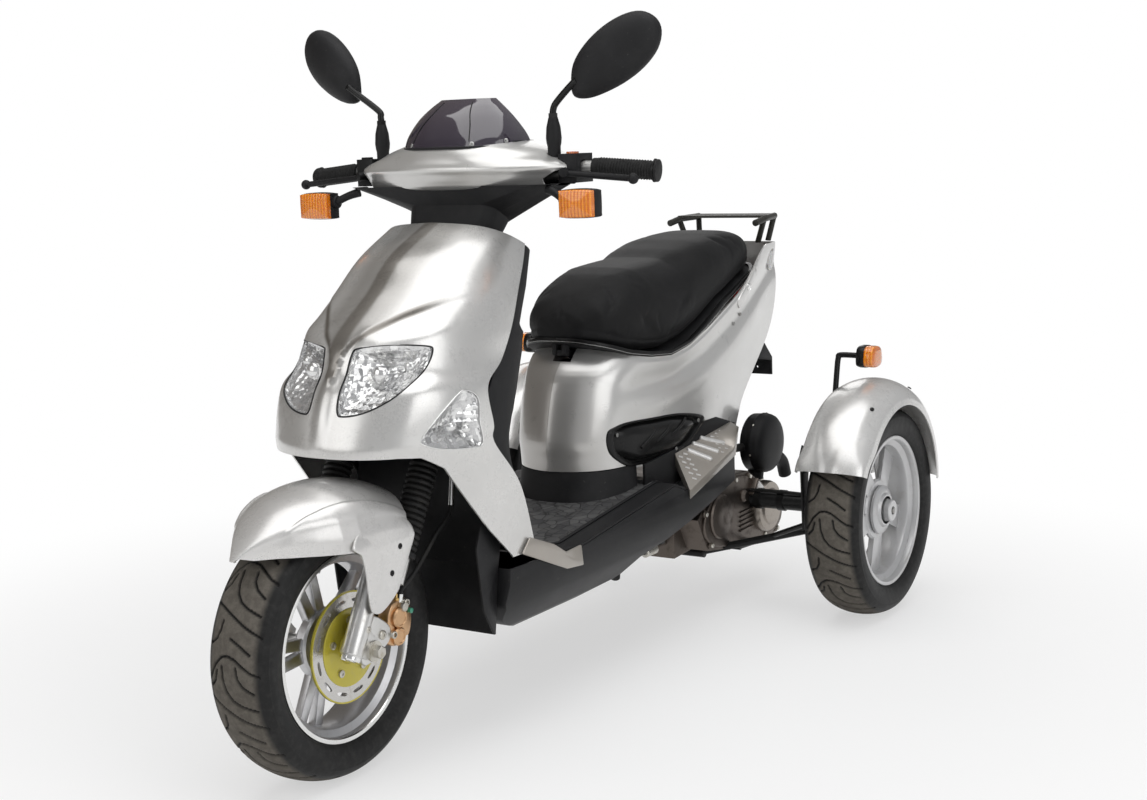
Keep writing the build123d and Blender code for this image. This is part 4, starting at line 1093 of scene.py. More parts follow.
def screw(place, normal, radius, height, material):
    """A domed screw head with a round recess, sitting on a skin."""
    profile = [(0.999, 0), (0.97, height * 0.55), (0.8, height * 0.86), (0.5, height), (0.3, height),
               (0.26, height - 1.4)]
    out = Vector(normal).normalized()
    side = out.orthogonal().normalized()
    other = out.cross(side)
    middle = Vector(place)
    outline = []
    for k in range(24):
        a = 2 * math.pi * k / 24
        outline.append((math.cos(a) * radius, math.sin(a) * radius))

    def spot(a, b, depth):
        return middle + side * a + other * b + out * (depth - 0.8)
    return dish("screw", outline, spot, profile, material)


def round_outline(a, b, radius):
    """A round outline of 24 points (mm)."""
    turns = [k * math.pi / 12 for k in range(24)]
    return [(a + radius * math.cos(turn), b + radius * math.sin(turn)) for turn in turns]


# ---- front bodywork --------------------------------------------------------------------------------
NOSE = Bow([
    (350, 204, -690, -318), (480, 198, -690, -352), (575, 203, -690, -436), (610, 206, -684, -440),
    (680, 201, -660, -446), (719, 190, -634, -386), (775, 187, -604, -344), (843, 180, -508, -306),
    (905, 162, -436, -256), (962, 140, -318, -216),
])
LAMP = [(31, 752), (43, 764), (93, 769), (141, 764), (151, 752), (146, 716), (130, 684), (90, 659),
        (48, 650), (32, 657), (28, 700)]
SIDE_LAMP = [(-606, 608), (-600, 595), (-562, 583), (-500, 576), (-472, 580), (-480, 622), (-478, 662),
             (-502, 681), (-524, 679), (-566, 650)]
PANEL_EDGE = [(8, 700), (14, 748), (24, 766), (53, 790), (89, 812), (128, 830), (160, 842), (200, 850)]
ARCH = [(-760, 300), (-760, 576), (-640, 577), (-606, 574), (-560, 548), (-512, 490), (-450, 412),
        (-392, 352), (-392, 300)]


def shield_relief(x, y, z):
    """The middle panel stands over the brows of the lamps and runs down between them as a ridge."""
    side = abs(x)
    edge = at(PANEL_EDGE, side)
    step = 5.5 * ease(z, edge - 5, edge + 7) * (1 - ease(side, 90, 165))
    ridge = 5.0 * (1 - ease(side, 3, 24)) * ease(z, 575, 660) * (1 - ease(z, 700, 790))
    crest = 2.5 * (1 - ease(side, 0, 60)) * ease(z, 740, 840)
    brow = (3.0 * math.exp(-((z - 775 - side * 0.05) / 14) ** 2)
            * ease(side, 24, 50) * (1 - ease(side, 140, 175)))
    cheek = (3.5 * math.exp(-((side - 150 - (z - 650) * 0.2) / 20) ** 2)
             * ease(z, 560, 640) * (1 - ease(z, 690, 760)))
    return step + ridge + crest + brow + cheek * 0.6


# Painted shade and reflection for the shield paint: a dark sliver along the step under the middle panel, and
# a brown-grey middle panel and ridge.
def shield_painted_shade(x, y, z):
    side = abs(x)
    edge = at(PANEL_EDGE, side)
    painted_sliver_shade = (ease(z, edge - 7, edge - 1) * (1 - ease(z, edge + 7, edge + 16))
              * (1 - ease(side, 100, 150)) * ease(side, 8, 20))
    middle = (0.5 * ease(z, edge, edge + 16) * (1 - ease(side, 40, 90))
              + 0.45 * (1 - ease(side, 12, 22)) * ease(z, 640, 700))
    return min(1.0, max(painted_sliver_shade, middle))


def on_nose(side):
    return lambda a, b, depth: (side * a, NOSE.y(a, b) + depth, b)


def on_flank(side):
    return lambda a, b, depth: (side * (NOSE.x(a, b) - depth), a, b)


class FrontSettings(bpy.types.PropertyGroup):
    """Front bodywork and lamps."""
    wall: bpy.props.FloatProperty(name="Panel wall", description="Thickness of the front shield",
                                  default=0.0035, unit="LENGTH")
    bowl_depth: bpy.props.FloatProperty(name="Bowl depth", description="Depth of a headlamp bowl",
        default=0.04, unit="LENGTH")
    facets: bpy.props.IntProperty(name="Facet rings", description="Rings of facets in a lamp bowl", default=9)


class SCOOTER_OT_front(bpy.types.Operator):
    """Build the front shield with its lamps"""
    bl_idname = "scooter.front"
    bl_label = "Front shield"

    def execute(self, context):
        settings = context.scene.scooter_front
        settle(self.shield(settings), "chassis", "silver", "front_shield")
        settle(self.headlamps(settings), "chassis", "lens", "headlights")
        settle(self.side_lamps(settings), "chassis", "lens", "side_lamps")
        return {"FINISHED"}

    def shield(self, settings):
        def place(u, v):
            return NOSE.at(2 * u - 1, 350 + 610 * v)
        skin = shell("front_shield_skin", place, 200, 215, settings.wall / MM, "shield paint", False,
                     shield_relief)
        low = steered(0, -400, 815)
        high = steered(0, 700, 815)
        cut(skin, slab("above", [low[1:], high[1:], (high[1], 1400), (low[1], 1400)], -300, 300,
                       "X", None, 0))
        cut(skin, slab("arch", ARCH, -300, 300, "X", None, 0))
        for side in (-1, 1):
            hole = [(side * a, b) for a, b in ring(LAMP, 6)]
            cut(skin, slab("lamp", hole, -760, -470, "Y", None, 0))
            near, far = sorted((side * 120, side * 260))
            cut(skin, slab("lamp", ring(SIDE_LAMP, 6), near, far, "X", None, 0))
        # Painted shade and reflection, read by the shield paint as 'tone'.
        stamp(skin, "tone", shield_painted_shade)
        bolt = screw((0, NOSE.y(0, 850) - 6, 850), (0, -0.85, 0.5), 7.5, 3, "zinc")
        return join("front_shield_panels", [skin, bolt])

    def headlamps(self, settings):
        parts = []
        depth = settings.bowl_depth / MM
        for side in (-1, 1):
            place = on_nose(side)
            wide = swollen(ring(LAMP, 6), -0.6)
            parts.append(gasket("headlamp_gasket", swollen(wide, 0.4), place, 1.5, "soft black"))
            cover = [(share, 0.4 - 2.2 * (1 - share ** 2))
                     for share in (0.995, 0.95, 0.85, 0.7, 0.5, 0.3, 0.12)]
            parts.append(dish("headlamp_cover", wide, place, cover, "clear", flip=side < 0))
            rings = settings.facets
            bowl = [(0.99, 3.0)] + [(0.97 - 0.87 * k / rings,
                                     10 + depth * math.sin(math.pi / 2 * (k / rings)) ** 1.2)
                                    for k in range(rings + 1)]
            parts.append(dish("headlamp_bowl", wide[::2], place, bowl, "reflector", flat=True, wobble=1.6))
            for a, b, size in ((76, 716, 17), (118, 728, 11)):
                y = NOSE.y(a, b)
                dome = [(r, math.sqrt(max(0, 1 - r * r)) * -size * 0.7)
                        for r in (1.0, 0.93, 0.8, 0.6, 0.35, 0.12)]
                parts.append(dish("bulb_shade", round_outline(a, b, size), lambda p, q, d, y=y,
                                  s=side: (s * p, y + 26 + d, q), dome, "bright alloy"))
            for k in range(6):
                a = 108 + k * 6.4
                y = NOSE.y(a, 720)
                lowest = at([(104, 676), (130, 690), (146, 724)], a)
                parts.append(tube("flute", [(side * a, NOSE.y(a, lowest) + 3.4, lowest),
                                            (side * a, y + 3.2, 722),
                                            (side * a, NOSE.y(a, 758) + 3.4, 758)], 1.5, "clear", 8, 6))
        return join("headlamp_units", parts)

    def side_lamps(self, settings):
        parts = []
        for side in (-1, 1):
            place = on_flank(side)
            wide = swollen(ring(SIDE_LAMP, 6), -0.6)
            parts.append(gasket("side_lamp_gasket", wide, place, 1.3, "bright alloy"))
            cover = [(share, 0.2 - 3 * (1 - share ** 2))
                     for share in (0.995, 0.95, 0.85, 0.7, 0.5, 0.3, 0.12)]
            parts.append(dish("side_lamp_cover", wide, place, cover, "clear", flip=side < 0))
            bowl = [(0.99, 3.0)] + [(0.97 - 0.87 * k / 7, 7 + 22 * math.sin(math.pi / 2 * (k / 7)) ** 1.1)
                                    for k in range(8)]
            parts.append(dish("side_lamp_bowl", wide[::2], place, bowl, "reflector", flat=True, wobble=1.5))
            for a, b in ((-540, 620), (-505, 612)):
                dome = [(r, 13 - math.sqrt(max(0, 1 - r * r)) * 8) for r in (1.0, 0.9, 0.7, 0.4, 0.12)]
                parts.append(dish("bulb_shade", round_outline(a, b, 9), place, dome, "bright alloy"))
        return join("side_lamp_units", parts)


# ---- body sides and seat --------------------------------------------------------------------------
BODY_ROWS = [
    (380, 44, 126, 142, 690, 100), (440, 40, 128, 148, 712, 104), (490, 40, 130, 152, 742, 106),
    (600, 72, 134, 156, 850, 110), (665, 128, 138, 156, 893, 112), (740, 190, 140, 156, 914, 112),
    (842, 300, 140, 150, 918, 110),
]
SEAT_LINE = [
    (90, 694), (104, 687), (182, 660), (250, 648), (320, 643), (400, 657), (480, 686), (571, 726), (700, 766),
    (800, 790), (836, 800),
]
PANEL_TOP = [(-40, 686), (104, 678)] + [(y, z - 9) for y, z in SEAT_LINE[2:] if y < 600]
PANEL_TOP += [(640, 746), (700, 776), (745, 804), (780, 824), (812, 837), (839, 842), (960, 842)]
PANEL_FOOT = [(-40, 415), (100, 417), (215, 416), (376, 430), (452, 468), (520, 466), (612, 438),
              (712, 398), (960, 398)]
VENT = [(100, 497), (118, 506), (156, 511), (243, 508), (337, 503), (430, 486), (452, 473), (440, 460),
        (387, 429), (323, 414), (243, 409), (197, 410), (154, 415), (110, 442), (96, 470)]
SWAGE = [(40, 575), (200, 585), (330, 592), (460, 625), (600, 680), (740, 735), (900, 790)]


class BodyPlan:
    """Plan outlines of the body sides by height, from the nose round to the middle of the tail."""
    side_points = 65

    def __init__(self, rows):
        self.rows = [[row[0], self.outline(*row[1:])] for row in catmull_row(rows, 6)]

    def outline(self, front, half_front, half_middle, rear, half_rear):
        nose = (0.74 * half_front, front + 0.33 * half_front)
        side = [
            (-nose[0], nose[1]), (0, front), nose, (half_front, front + 1.15 * half_front),
            (half_middle, front + 0.62 * (rear - front)), (half_rear, rear),
        ]
        run = catmull([(x, y, 0) for x, y in side], 16)[16:]
        tail = [(half_rear * math.cos(a), rear + 18 * math.sin(a))
                for a in (math.pi / 2 * k / 10 for k in range(1, 11))]
        return [(p.x, p.y) for p in run] + tail

    def level(self, z):
        rows = self.rows
        z = min(max(z, rows[0][0]), rows[-1][0])
        for (low, first), (high, second) in zip(rows, rows[1:]):
            if z <= high:
                t = (z - low) / max(high - low, 1e-6)
                return [(a[0] + (b[0] - a[0]) * t, a[1] + (b[1] - a[1]) * t) for a, b in zip(first, second)]
        return rows[-1][1]

    def at(self, along, z):
        line = self.level(z)
        spot = min(max(along, 0.0), 0.99999) * (len(line) - 1)
        k = int(spot)
        a, b = line[k], line[k + 1]
        t = spot - k
        return (a[0] + (b[0] - a[0]) * t, a[1] + (b[1] - a[1]) * t, z)

    def x(self, y, z):
        return at([(b, a) for a, b in self.level(z)[:self.side_points]], y)


BODY = BodyPlan(BODY_ROWS)


def body_spot(u, v):
    """A place on the left body side between its foot and the seat line."""
    low, high = 420.0, 700.0
    for _ in range(6):
        low = at(PANEL_FOOT, BODY.at(u, low)[1])
        high = 0.5 * high + 0.5 * at(PANEL_TOP, BODY.at(u, high)[1])
    return BODY.at(u, low + (high - low) * v)


def body_relief(x, y, z):
    line = at(SWAGE, y)
    swell = 5.0 * math.exp(-((z - line) / 26) ** 2) * ease(y, 60, 240)
    waist = -3.5 * math.exp(-((z - line + 58) / 30) ** 2) * ease(y, 180, 330) * (1 - ease(y, 700, 860))
    lip = 2.0 * ease(z, at(PANEL_TOP, y) - 12, at(PANEL_TOP, y) - 4) * (1 - ease(y, 700, 800))
    return swell + waist + lip


def on_body(side, lift=0.0):
    return lambda a, b, depth: (side * (BODY.x(a, b) + lift - depth), a, b)


class BodySettings(bpy.types.PropertyGroup):
    """Body sides and seat."""
    wall: bpy.props.FloatProperty(name="Panel wall", description="Thickness of the body sides",
                                  default=0.0035, unit="LENGTH")
    voxel: bpy.props.FloatProperty(name="Cushion grain",
        description="Voxel size of the cushion before it swells", default=0.006, unit="LENGTH")
    pressure: bpy.props.FloatProperty(name="Cushion pressure",
        description="Pressure inside the cushion cover", default=4.0)
    swell: bpy.props.FloatProperty(name="Cushion swell",
        description="Furthest that a point of the cover may move", default=0.007, unit="LENGTH")


def swelled(piece, settings, free):
    """Cover a shape with cloth and let pressure fill it. free(x, y, z), from 0 to 1, scales a
    point's movement."""
    tool = piece.modifiers.new("voxels", "REMESH")
    tool.mode = "VOXEL"
    tool.voxel_size = settings.voxel
    apply_all(piece)
    cloth = piece.modifiers.new("cover", "CLOTH")
    cloth.settings.use_pressure = True
    cloth.settings.uniform_pressure_force = settings.pressure
    cloth.settings.effector_weights.gravity = 0
    cloth.point_cache.frame_start = 1
    cloth.point_cache.frame_end = 20
    start = [v.co.copy() for v in piece.data.vertices]
    scene = bpy.context.scene
    for frame_number in range(1, 21):
        scene.frame_set(frame_number)
    graph = bpy.context.evaluated_depsgraph_get()
    moved = [v.co.copy() for v in piece.evaluated_get(graph).data.vertices]
    piece.modifiers.remove(cloth)
    scene.frame_set(1)
    for vertex, before, after in zip(piece.data.vertices, start, moved):
        way = after - before
        if way.length > settings.swell:
            way *= settings.swell / way.length
        vertex.co = before + way * free(*(before / MM))
    tool = piece.modifiers.new("fine", "SUBSURF")
    tool.levels = tool.render_levels = 1
    apply_all(piece)
    return smooth(piece, 70)


class SCOOTER_OT_body(bpy.types.Operator):
    """Build the body sides, the vents and the seat"""
    bl_idname = "scooter.body"
    bl_label = "Body and seat"

    def execute(self, context):
        settings = context.scene.scooter_body
        for side, name in ((1, "left"), (-1, "right")):
            settle(self.side_panel(settings, side, name), "chassis", "silver", f"side_panel_{name}")
        settle(self.vents(), "chassis", "black_plastic", "side_vents")
        settle(self.tail_lamp(), "chassis", "red", "tail_light")
        seat = settle(self.cushion(settings), "seat", "vinyl", "seat")
        settle(self.seat_trim(), "seat", "black_plastic", "seat_base")
        return {"FINISHED"}

    def side_panel(self, settings, side, name):
        def place(u, v):
            x, y, z = body_spot(u, v)
            return (side * max(x, 0.15), y, z)

        def relief(x, y, z):
            return body_relief(x, y, z) * ease(abs(x), 0.2, 20)
        skin = shell(f"side_skin_{name}", place, 190, 90, settings.wall / MM, "panel paint", side > 0, relief)
        near, far = sorted((side * 60, side * 260))
        cut(skin, slab("vent_hole", ring(VENT, 4), near, far, "X", None, 0))
        notch = [(23, 643), (23, 720), (-23, 720), (-23, 643)]
        cut(skin, slab("notch", notch, 60, 240, "Y", None, 0))
        lamp = [(89, 699), (89, 753), (-89, 753), (-89, 699)]
        cut(skin, slab("lamp_hole", lamp, 860, 1000, "Y", None, 0))
        # Painted shade and reflection: the paint is darkened towards the front, more strongly and further
        # back on the right side.
        painted_shade, reach = (0.55, 190) if side < 0 else (0.3, 120)
        stamp(skin, "tone", lambda x, y, z: painted_shade * (1 - ease(y, 60, reach)))
        parts = [skin]
        for y, z, size in ((672, 613, 5), (640, 690, 4.5), (604, 672, 4.5), (560, 480, 5)):
            parts.append(screw((side * (BODY.x(y, z) + 1.2), y, z), (side, 0, -0.1), size, 2.2, "steel"))
        for x, z in ((16, 446), (16, 628)):
            y = BODY.at(0.02, z)[1]
            parts.append(screw((side * x, y + 1.4, z), (side * 0.15, -1, 0.1), 5, 2.2, "steel"))
        bar = [(628, 708), (642, 712), (738, 768), (748, 780), (742, 792), (728, 790), (632, 734), (620, 720)]
        lift = body_relief(150, 690, 750)
        parts.append(dish("side_bar", ring(bar, 4), on_body(side, lift),
                          [(0.999, 2), (0.99, -2.5), (0.93, -4.5), (0.7, -5.2), (0.3, -5.4)],
                          "bright silver"))
        parts.append(dish("seat_lock", round_outline(682, 750, 10), on_body(side, lift),
                          [(1, -4), (0.98, -7), (0.8, -7.6), (0.74, -6.4), (0.4, -6.6), (0.2, -6.6)],
                          "bright alloy"))
        corner = [(846, 836), (880, 838), (905, 836), (911, 812), (900, 786), (876, 772),
                  (852, 782), (842, 812)]
        parts.append(dish("tail_corner", ring(corner, 4), on_body(side),
                          [(0.999, 2), (0.99, -1.6), (0.92, -2.4), (0.5, -3), (0.2, -3)], "grey lens"))
        return join(f"side_panel_{name}_skin", parts)

    def vents(self):
        parts = []
        for side in (-1, 1):
            outline = swollen(ring(VENT, 5), -0.8)
            profile = [(1.0, 6), (0.999, -3), (0.985, -5), (0.93, -5.5), (0.89, -3), (0.86, 5), (0.83, 6),
                       (0.78, 0), (0.7, -7), (0.55, -11), (0.3, -14), (0.1, -14.5)]
            parts.append(dish("vent", outline, on_body(side, 1), profile, "gloss black"))
            for share in (0.34, 0.5, 0.66):
                y = 110 + 330 * share
                run = [(side * (BODY.x(y, 434 + 38 * share) + 10), y - 34, 440 + 30 * share),
                       (side * (BODY.x(y, 470) + 16), y, 466 + 14 * share),
                       (side * (BODY.x(y, 480) + 11), y + 30, 486 + 4 * share)]
                parts.append(tube("vent_rib", run, 3.2, "gloss black", 8, 6))
            for y, z in ((122, 488), (420, 474), (330, 424)):
                parts.append(screw((side * (BODY.x(y, z) + 6), y, z), (side, 0, 0), 4.5, 2, "steel"))
        return join("side_vent_skins", parts)

    def tail_lamp(self):
        outline = ring([(-86, 702), (-88, 726), (-86, 750), (0, 751), (86, 750), (88, 726), (86, 702),
                        (0, 701)], 5)

        def place(a, b, depth):
            return (a, 898 + 18 * math.sqrt(max(0, 1 - (a / 112) ** 2)) + (b - 700) * 0.12 - depth, b)
        profile = [(1, 18), (0.999, 2), (0.98, -1), (0.9, -3), (0.5, -4), (0.2, -4)]
        lens = dish("tail_lens", outline, place, profile, "red")
        return join("tail_lamp_lens", [lens])

    def cushion(self, settings):
        plan = [(92, 8), (98, 58), (124, 98), (190, 128), (320, 147), (450, 151), (600, 146), (740, 129),
                (806, 101), (822, 60), (826, 8)]
        top = [(96, 742), (130, 776), (180, 799), (224, 816), (275, 828), (330, 832), (425, 838),
               (475, 852), (558, 868), (650, 877), (711, 880), (780, 876), (815, 862), (826, 840)]
        rows = []
        count = 44
        for k in range(61):
            y = 93 + 732 * (0.5 - 0.5 * math.cos(math.pi * k / 60))
            half = at(plan, y) - 3
            low, high = at(SEAT_LINE, y) + 0.4, at(top, y) - 4
            row = []
            for i in range(count):
                a = 2 * math.pi * i / count
                power = 0.42 if math.sin(a) < 0 else 0.62
                across = math.copysign(abs(math.cos(a)) ** 0.55, math.cos(a))
                rise = math.copysign(abs(math.sin(a)) ** power, math.sin(a))
                middle = low + (high - low) * 0.36
                z = middle + rise * ((high - middle) if rise > 0 else (middle - low))
                tuck = 1 - 0.06 * max(0, -rise)
                row.append(vec(across * half * tuck, y, z))
            rows.append(row)
        mesh = closed(grid_mesh("cushion", rows, wrap_columns=True))

        def free(x, y, z):
            return ease(z, at(SEAT_LINE, y) + 6, at(SEAT_LINE, y) + 34)
        pad = swelled(link("seat_cushion", mesh, "vinyl"), settings, free)
        for vertex in pad.data.vertices:
            x, y, z = vertex.co / MM
            floor = at(SEAT_LINE, y) + 0.4
            seam = 1.6 * math.exp(-((z - floor - 26) / 3.2) ** 2)
            reach = math.hypot(x, 1)
            vertex.co.x -= x / reach * seam * MM
            vertex.co.z = max(z, floor) * MM
        return pad

    def seat_trim(self):
        """The seat pan's glossy edge with its pale line."""
        plan = [(92, 8), (98, 58), (124, 98), (190, 128), (320, 148), (450, 152), (600, 147), (740, 130),
                (806, 102), (822, 60), (826, 8)]
        run = [(-x, y) for y, x in reversed(plan)] + [(x, y) for y, x in plan]
        path = catmull([(x, y, 0) for x, y in run], 6)

        def strip(name, section, material):
            rows = []
            for p in path:
                z = at(SEAT_LINE, p.y)
                reach = math.hypot(p.x, p.y - 450)
                out = (p.x / reach, (p.y - 450) / reach)
                rows.append([vec(p.x + out[0] * a, p.y + out[1] * a, z + b) for a, b in section])
            return smooth(link(name, outward(grid_mesh(name, rows, True, True)), material), 40)
        edge = [(-10, -8), (1.5, -8), (3, -6.6), (3.4, -1.5), (2.4, 2.5), (0, 3.6), (-10, 1)]
        band = strip("seat_edge", edge, "gloss black")
        line = strip("seat_edge_line", [(3, -5), (3.9, -4.6), (3.9, -3.8), (3, -3.4)], "steel")
        pan = refined("seat_base", "black plastic", 0.0005)
        pan.data.transform(Matrix.Translation((0, 0, -0.0003)))
        return join("seat_pan_skin", [pan, band, line])


# ---- handlebar, covers, mirrors and screen ----------------------------------------------------------
COVER = Bow([(1026, 236, -284, -160), (1036, 243, -300, -160), (1058, 250, -312, -163),
             (1072, 247, -314, -165), (1094, 200, -306, -163), (1112, 140, -292, -160),
             (1117, 120, -282, -160)], 2.3)
SCREEN = Bow([(1104, 132, -300, -168), (1130, 124, -286, -176), (1160, 104, -262, -184),
              (1182, 82, -238, -186), (1198, 62, -216, -184)], 2.6)


def cover_relief(x, y, z):
    side = abs(x)
    crease = 3.0 * math.exp(-((z - 1066 + 0.02 * side) / 7) ** 2)
    hollow = -3.0 * math.exp(-((z - 1090) / 10) ** 2) * ease(side, 40, 110)
    lip = 1.5 * (1 - ease(z, 1030, 1040))
    return crease + hollow + lip


class UpperSettings(bpy.types.PropertyGroup):
    """Covers, mirrors and hand controls."""
    grip_ribs: bpy.props.IntProperty(name="Grip ribs", description="Raised rings on each grip", default=22)
    screen_wall: bpy.props.FloatProperty(name="Screen wall", description="Thickness of the small screen",
        default=0.003, unit="LENGTH")


class SCOOTER_OT_upper(bpy.types.Operator):
    """Build the handlebar covers, the screen, the mirrors and the hand controls"""
    bl_idname = "scooter.upper"
    bl_label = "Handlebar"

    def execute(self, context):
        settings = context.scene.scooter_upper
        settle(self.cover(), "steering", "silver", "handlebar_cover")
        settle(self.screen(settings), "steering", "smoke", "windscreen")
        settle(self.mirrors(), "steering", "black_plastic", "mirrors")
        settle(self.signals(), "steering", "amber", "front_signals")
        settle(self.controls(), "steering", "black_plastic", "hand_controls")
        settle(self.grips(settings), "steering", "rubber", "grips")
        return {"FINISHED"}

    def cover(self):
        def place(u, v):
            return COVER.at(2 * u - 1, 1026 + 91 * v)
        skin = shell("cover_skin", place, 170, 60, 2.6, "panel paint", False, cover_relief)
        for side in (-1, 1):
            cut(skin, slab("post_hole", round_outline(side * 206, -206, 13.5), 1040, 1160, "Z", None, 0))
            bar = [(-150, 1036), (-150, 990), (-260, 990), (-260, 1030), (-240, 1058), (-180, 1064)]
            near, far = sorted((side * 205, side * 300))
            cut(skin, slab("bar_gap", bar, near, far, "X", None, 0))
        stamp(skin, "tone", lambda x, y, z: 0)
        lid_rows = []
        for k in range(25):
            x = -128 + 256 * k / 24
            half = COVER.row(1112)[1]
            front = COVER.y(min(abs(x), half - 1), 1113)
            bulge = 1 - (x / 132) ** 2
            lid_rows.append([vec(x, front + (-158 - front) * t, 1115.5 + 7 * math.sin(math.pi * t) * bulge)
                             for t in (i / 12 for i in range(13))])
        lid = link("cover_lid", grid_mesh("cover_lid", lid_rows), "black plastic")
        lid.data.flip_normals()
        walled(lid, 2.5)
        back = [(-222, 1030), (-232, 1056), (-190, 1076), (-120, 1108), (120, 1108), (190, 1076),
                (232, 1056), (222, 1030)]
        dash = slab("dash", back, -166, -160, "Y", "black plastic", 1.5)
        return join("cover_panels", [skin, smooth(lid, 40), dash])

    def screen(self, settings):
        def place(u, v):
            return SCREEN.at(2 * u - 1, 1104 + 94 * v)
        parts = [shell("screen_pane", place, 110, 44, settings.screen_wall / MM, "screen")]
        for side in (-1, 1):
            seam = [(side * x, SCREEN.y(x, z) - 1, z) for x,
                    z in ((66, 1118), (58, 1146), (44, 1172), (34, 1192))]
            parts.append(tube("screen_seam", seam, 1.0, "gloss black", 8, 6))
            for x, z in ((118, 1116), (72, 1112)):
                y = SCREEN.y(x, z)
                parts.append(screw((side * x, y + 0.2, z), (side * 0.5, -0.8, 0.3), 5, 2.4, "steel"))
        base = [SCREEN.at(2 * k / 40 - 1, 1106) for k in range(41)]
        parts.append(tube("screen_base", [(x, y - 1.2, z) for x, y, z in base], 2.4, "soft black", 8, 1))
        return join("screen_unit", parts)

    def mirrors(self):
        parts = []
        outline = ring([(-106, -18), (-98, 4), (-74, 32), (-36, 49), (10, 56), (54, 52), (86, 38),
                        (102, 12), (98, -14), (74, -37), (34, -50), (-14, -52), (-64, -44), (-92, -33)], 4)
        for side in (-1, 1):
            sweep = math.radians(16)
            middle = Vector((326, -176, 1265) if side > 0 else (-352, -176, 1277))
            ahead = Vector((side * math.cos(sweep), math.sin(sweep), 0))
            front = Vector((side * math.sin(sweep), -math.cos(sweep), 0))
            tilt = math.radians(32)
            long_way = (ahead * math.cos(tilt) + Vector((0, 0, 1)) * math.sin(tilt))
            short_way = (Vector((0, 0, 1)) * math.cos(tilt) - ahead * math.sin(tilt))

            def place(a, b, depth, middle=middle, l=long_way, s=short_way, f=front):
                return middle + l * a + s * b - f * depth
            back = [(0.93, 13), (0.985, 11), (1.0, 6), (0.995, 0), (0.96, -7), (0.88, -13), (0.75, -19),
                    (0.55, -24), (0.3, -27), (0.1, -28)]
            parts.append(dish("mirror_shell", outline, place, back, "black plastic"))
            parts.append(dish("mirror_rim", swollen(outline, -1), place,
                              [(0.9, 11), (0.93, 13.4), (0.975, 13.2), (0.985, 10)][::-1], "soft black"))
            parts.append(dish("mirror_glass", outline, place,
                              [(0.92, 11), (0.919, 12.4), (0.5, 12.2), (0.2, 12.1)], "mirror"))
            foot = (side * 206, -206, 1108)
            boot = [(-46, 0.1), (-46, 12), (-6, 12.5), (0, 14), (10, 15), (30, 13.5), (44, 10),
                    (48, 9), (48, 0.1)]
            parts.append(lathe("mirror_boot", boot, foot, "soft black", 24, "Z"))
            parts.append(lathe("mirror_nut", [(46, 0.1), (46, 9.5), (56, 9.5), (56, 0.1)], foot,
                               "gloss black", 6, "Z"))
            root = middle - long_way * 84 + front * 8
            run = [(side * 206, -206, 1156), (side * 207, -206, 1170), (side * 214, -204, 1184),
                   tuple(root - long_way * 14), tuple(root)]
            parts.append(tube("mirror_stem", run, 6.5, "gloss black", 14, 8,
                              lambda t: 1 + 0.5 * ease(t, 0.75, 1)))
        return join("mirror_units", parts)

    def signals(self):
        parts = []
        for side in (-1, 1):
            x, y, z = side * 311, -288, 999
            body = ring([(-37, -20), (-34, -26), (0, -27), (34, -25), (37, -18), (37, 18), (33, 25),
                         (0, 27), (-34, 25), (-37, 20)], 4)

            def place(a, b, depth, x=x, y=y, z=z, side=side):
                return (x + side * a, y + depth, z + b)
            case = [(0.9, -8), (0.98, -8), (1.0, -5), (1.0, 12), (0.96, 18), (0.8, 22), (0.4, 24), (0.1, 24)]
            parts.append(dish("signal_case", body, place, case, "black plastic"))
            parts.append(dish("signal_lens", swollen(body, -1.2), place,
                              [(1.0, -6), (0.995, -13), (0.97, -17), (0.9, -19), (0.6, -20.5), (0.2, -21)],
                              "amber"))
            stem = [(side * 226, -262, 1024), (side * 246, -270, 1018), (side * 268, -280, 1008),
                    (side * 282, -284, 1003)]
            parts.append(tube("signal_stem", stem, 9, "soft black", 14, 6,
                              lambda t: 1 - 0.15 * math.sin(math.pi * t)))
            parts.append(lathe("signal_collar", [(-4, 0.1), (-4, 13), (4, 13), (6, 11), (6, 0.1)],
                               (side * 272, -281, 1006), "soft black", 24, "X"))
        return join("front_signal_units", parts)

    def controls(self):
        parts = [refined("hand_controls", "soft black", 0.004)]
        corners = [v.co / MM for v in frame["nodes"]["hand_controls"].data.vertices]
        for side in (-1, 1):
            mine = [p for p in corners if p.x * side > 0]
            near = min(p.x * side for p in mine)
            top = max(p.z for p in mine)
            front = min(p.y for p in mine)
            outline = [(side * (near + a), front + b) for a, b in ((14, 30), (34, 30), (34, 44), (14, 44))]
            colour = "orange reflector" if side > 0 else "grip rubber"
            parts.append(slab("switch", outline, top - 3, top + 4, "Z", colour, 1.2))
        return join("hand_control_units", parts)

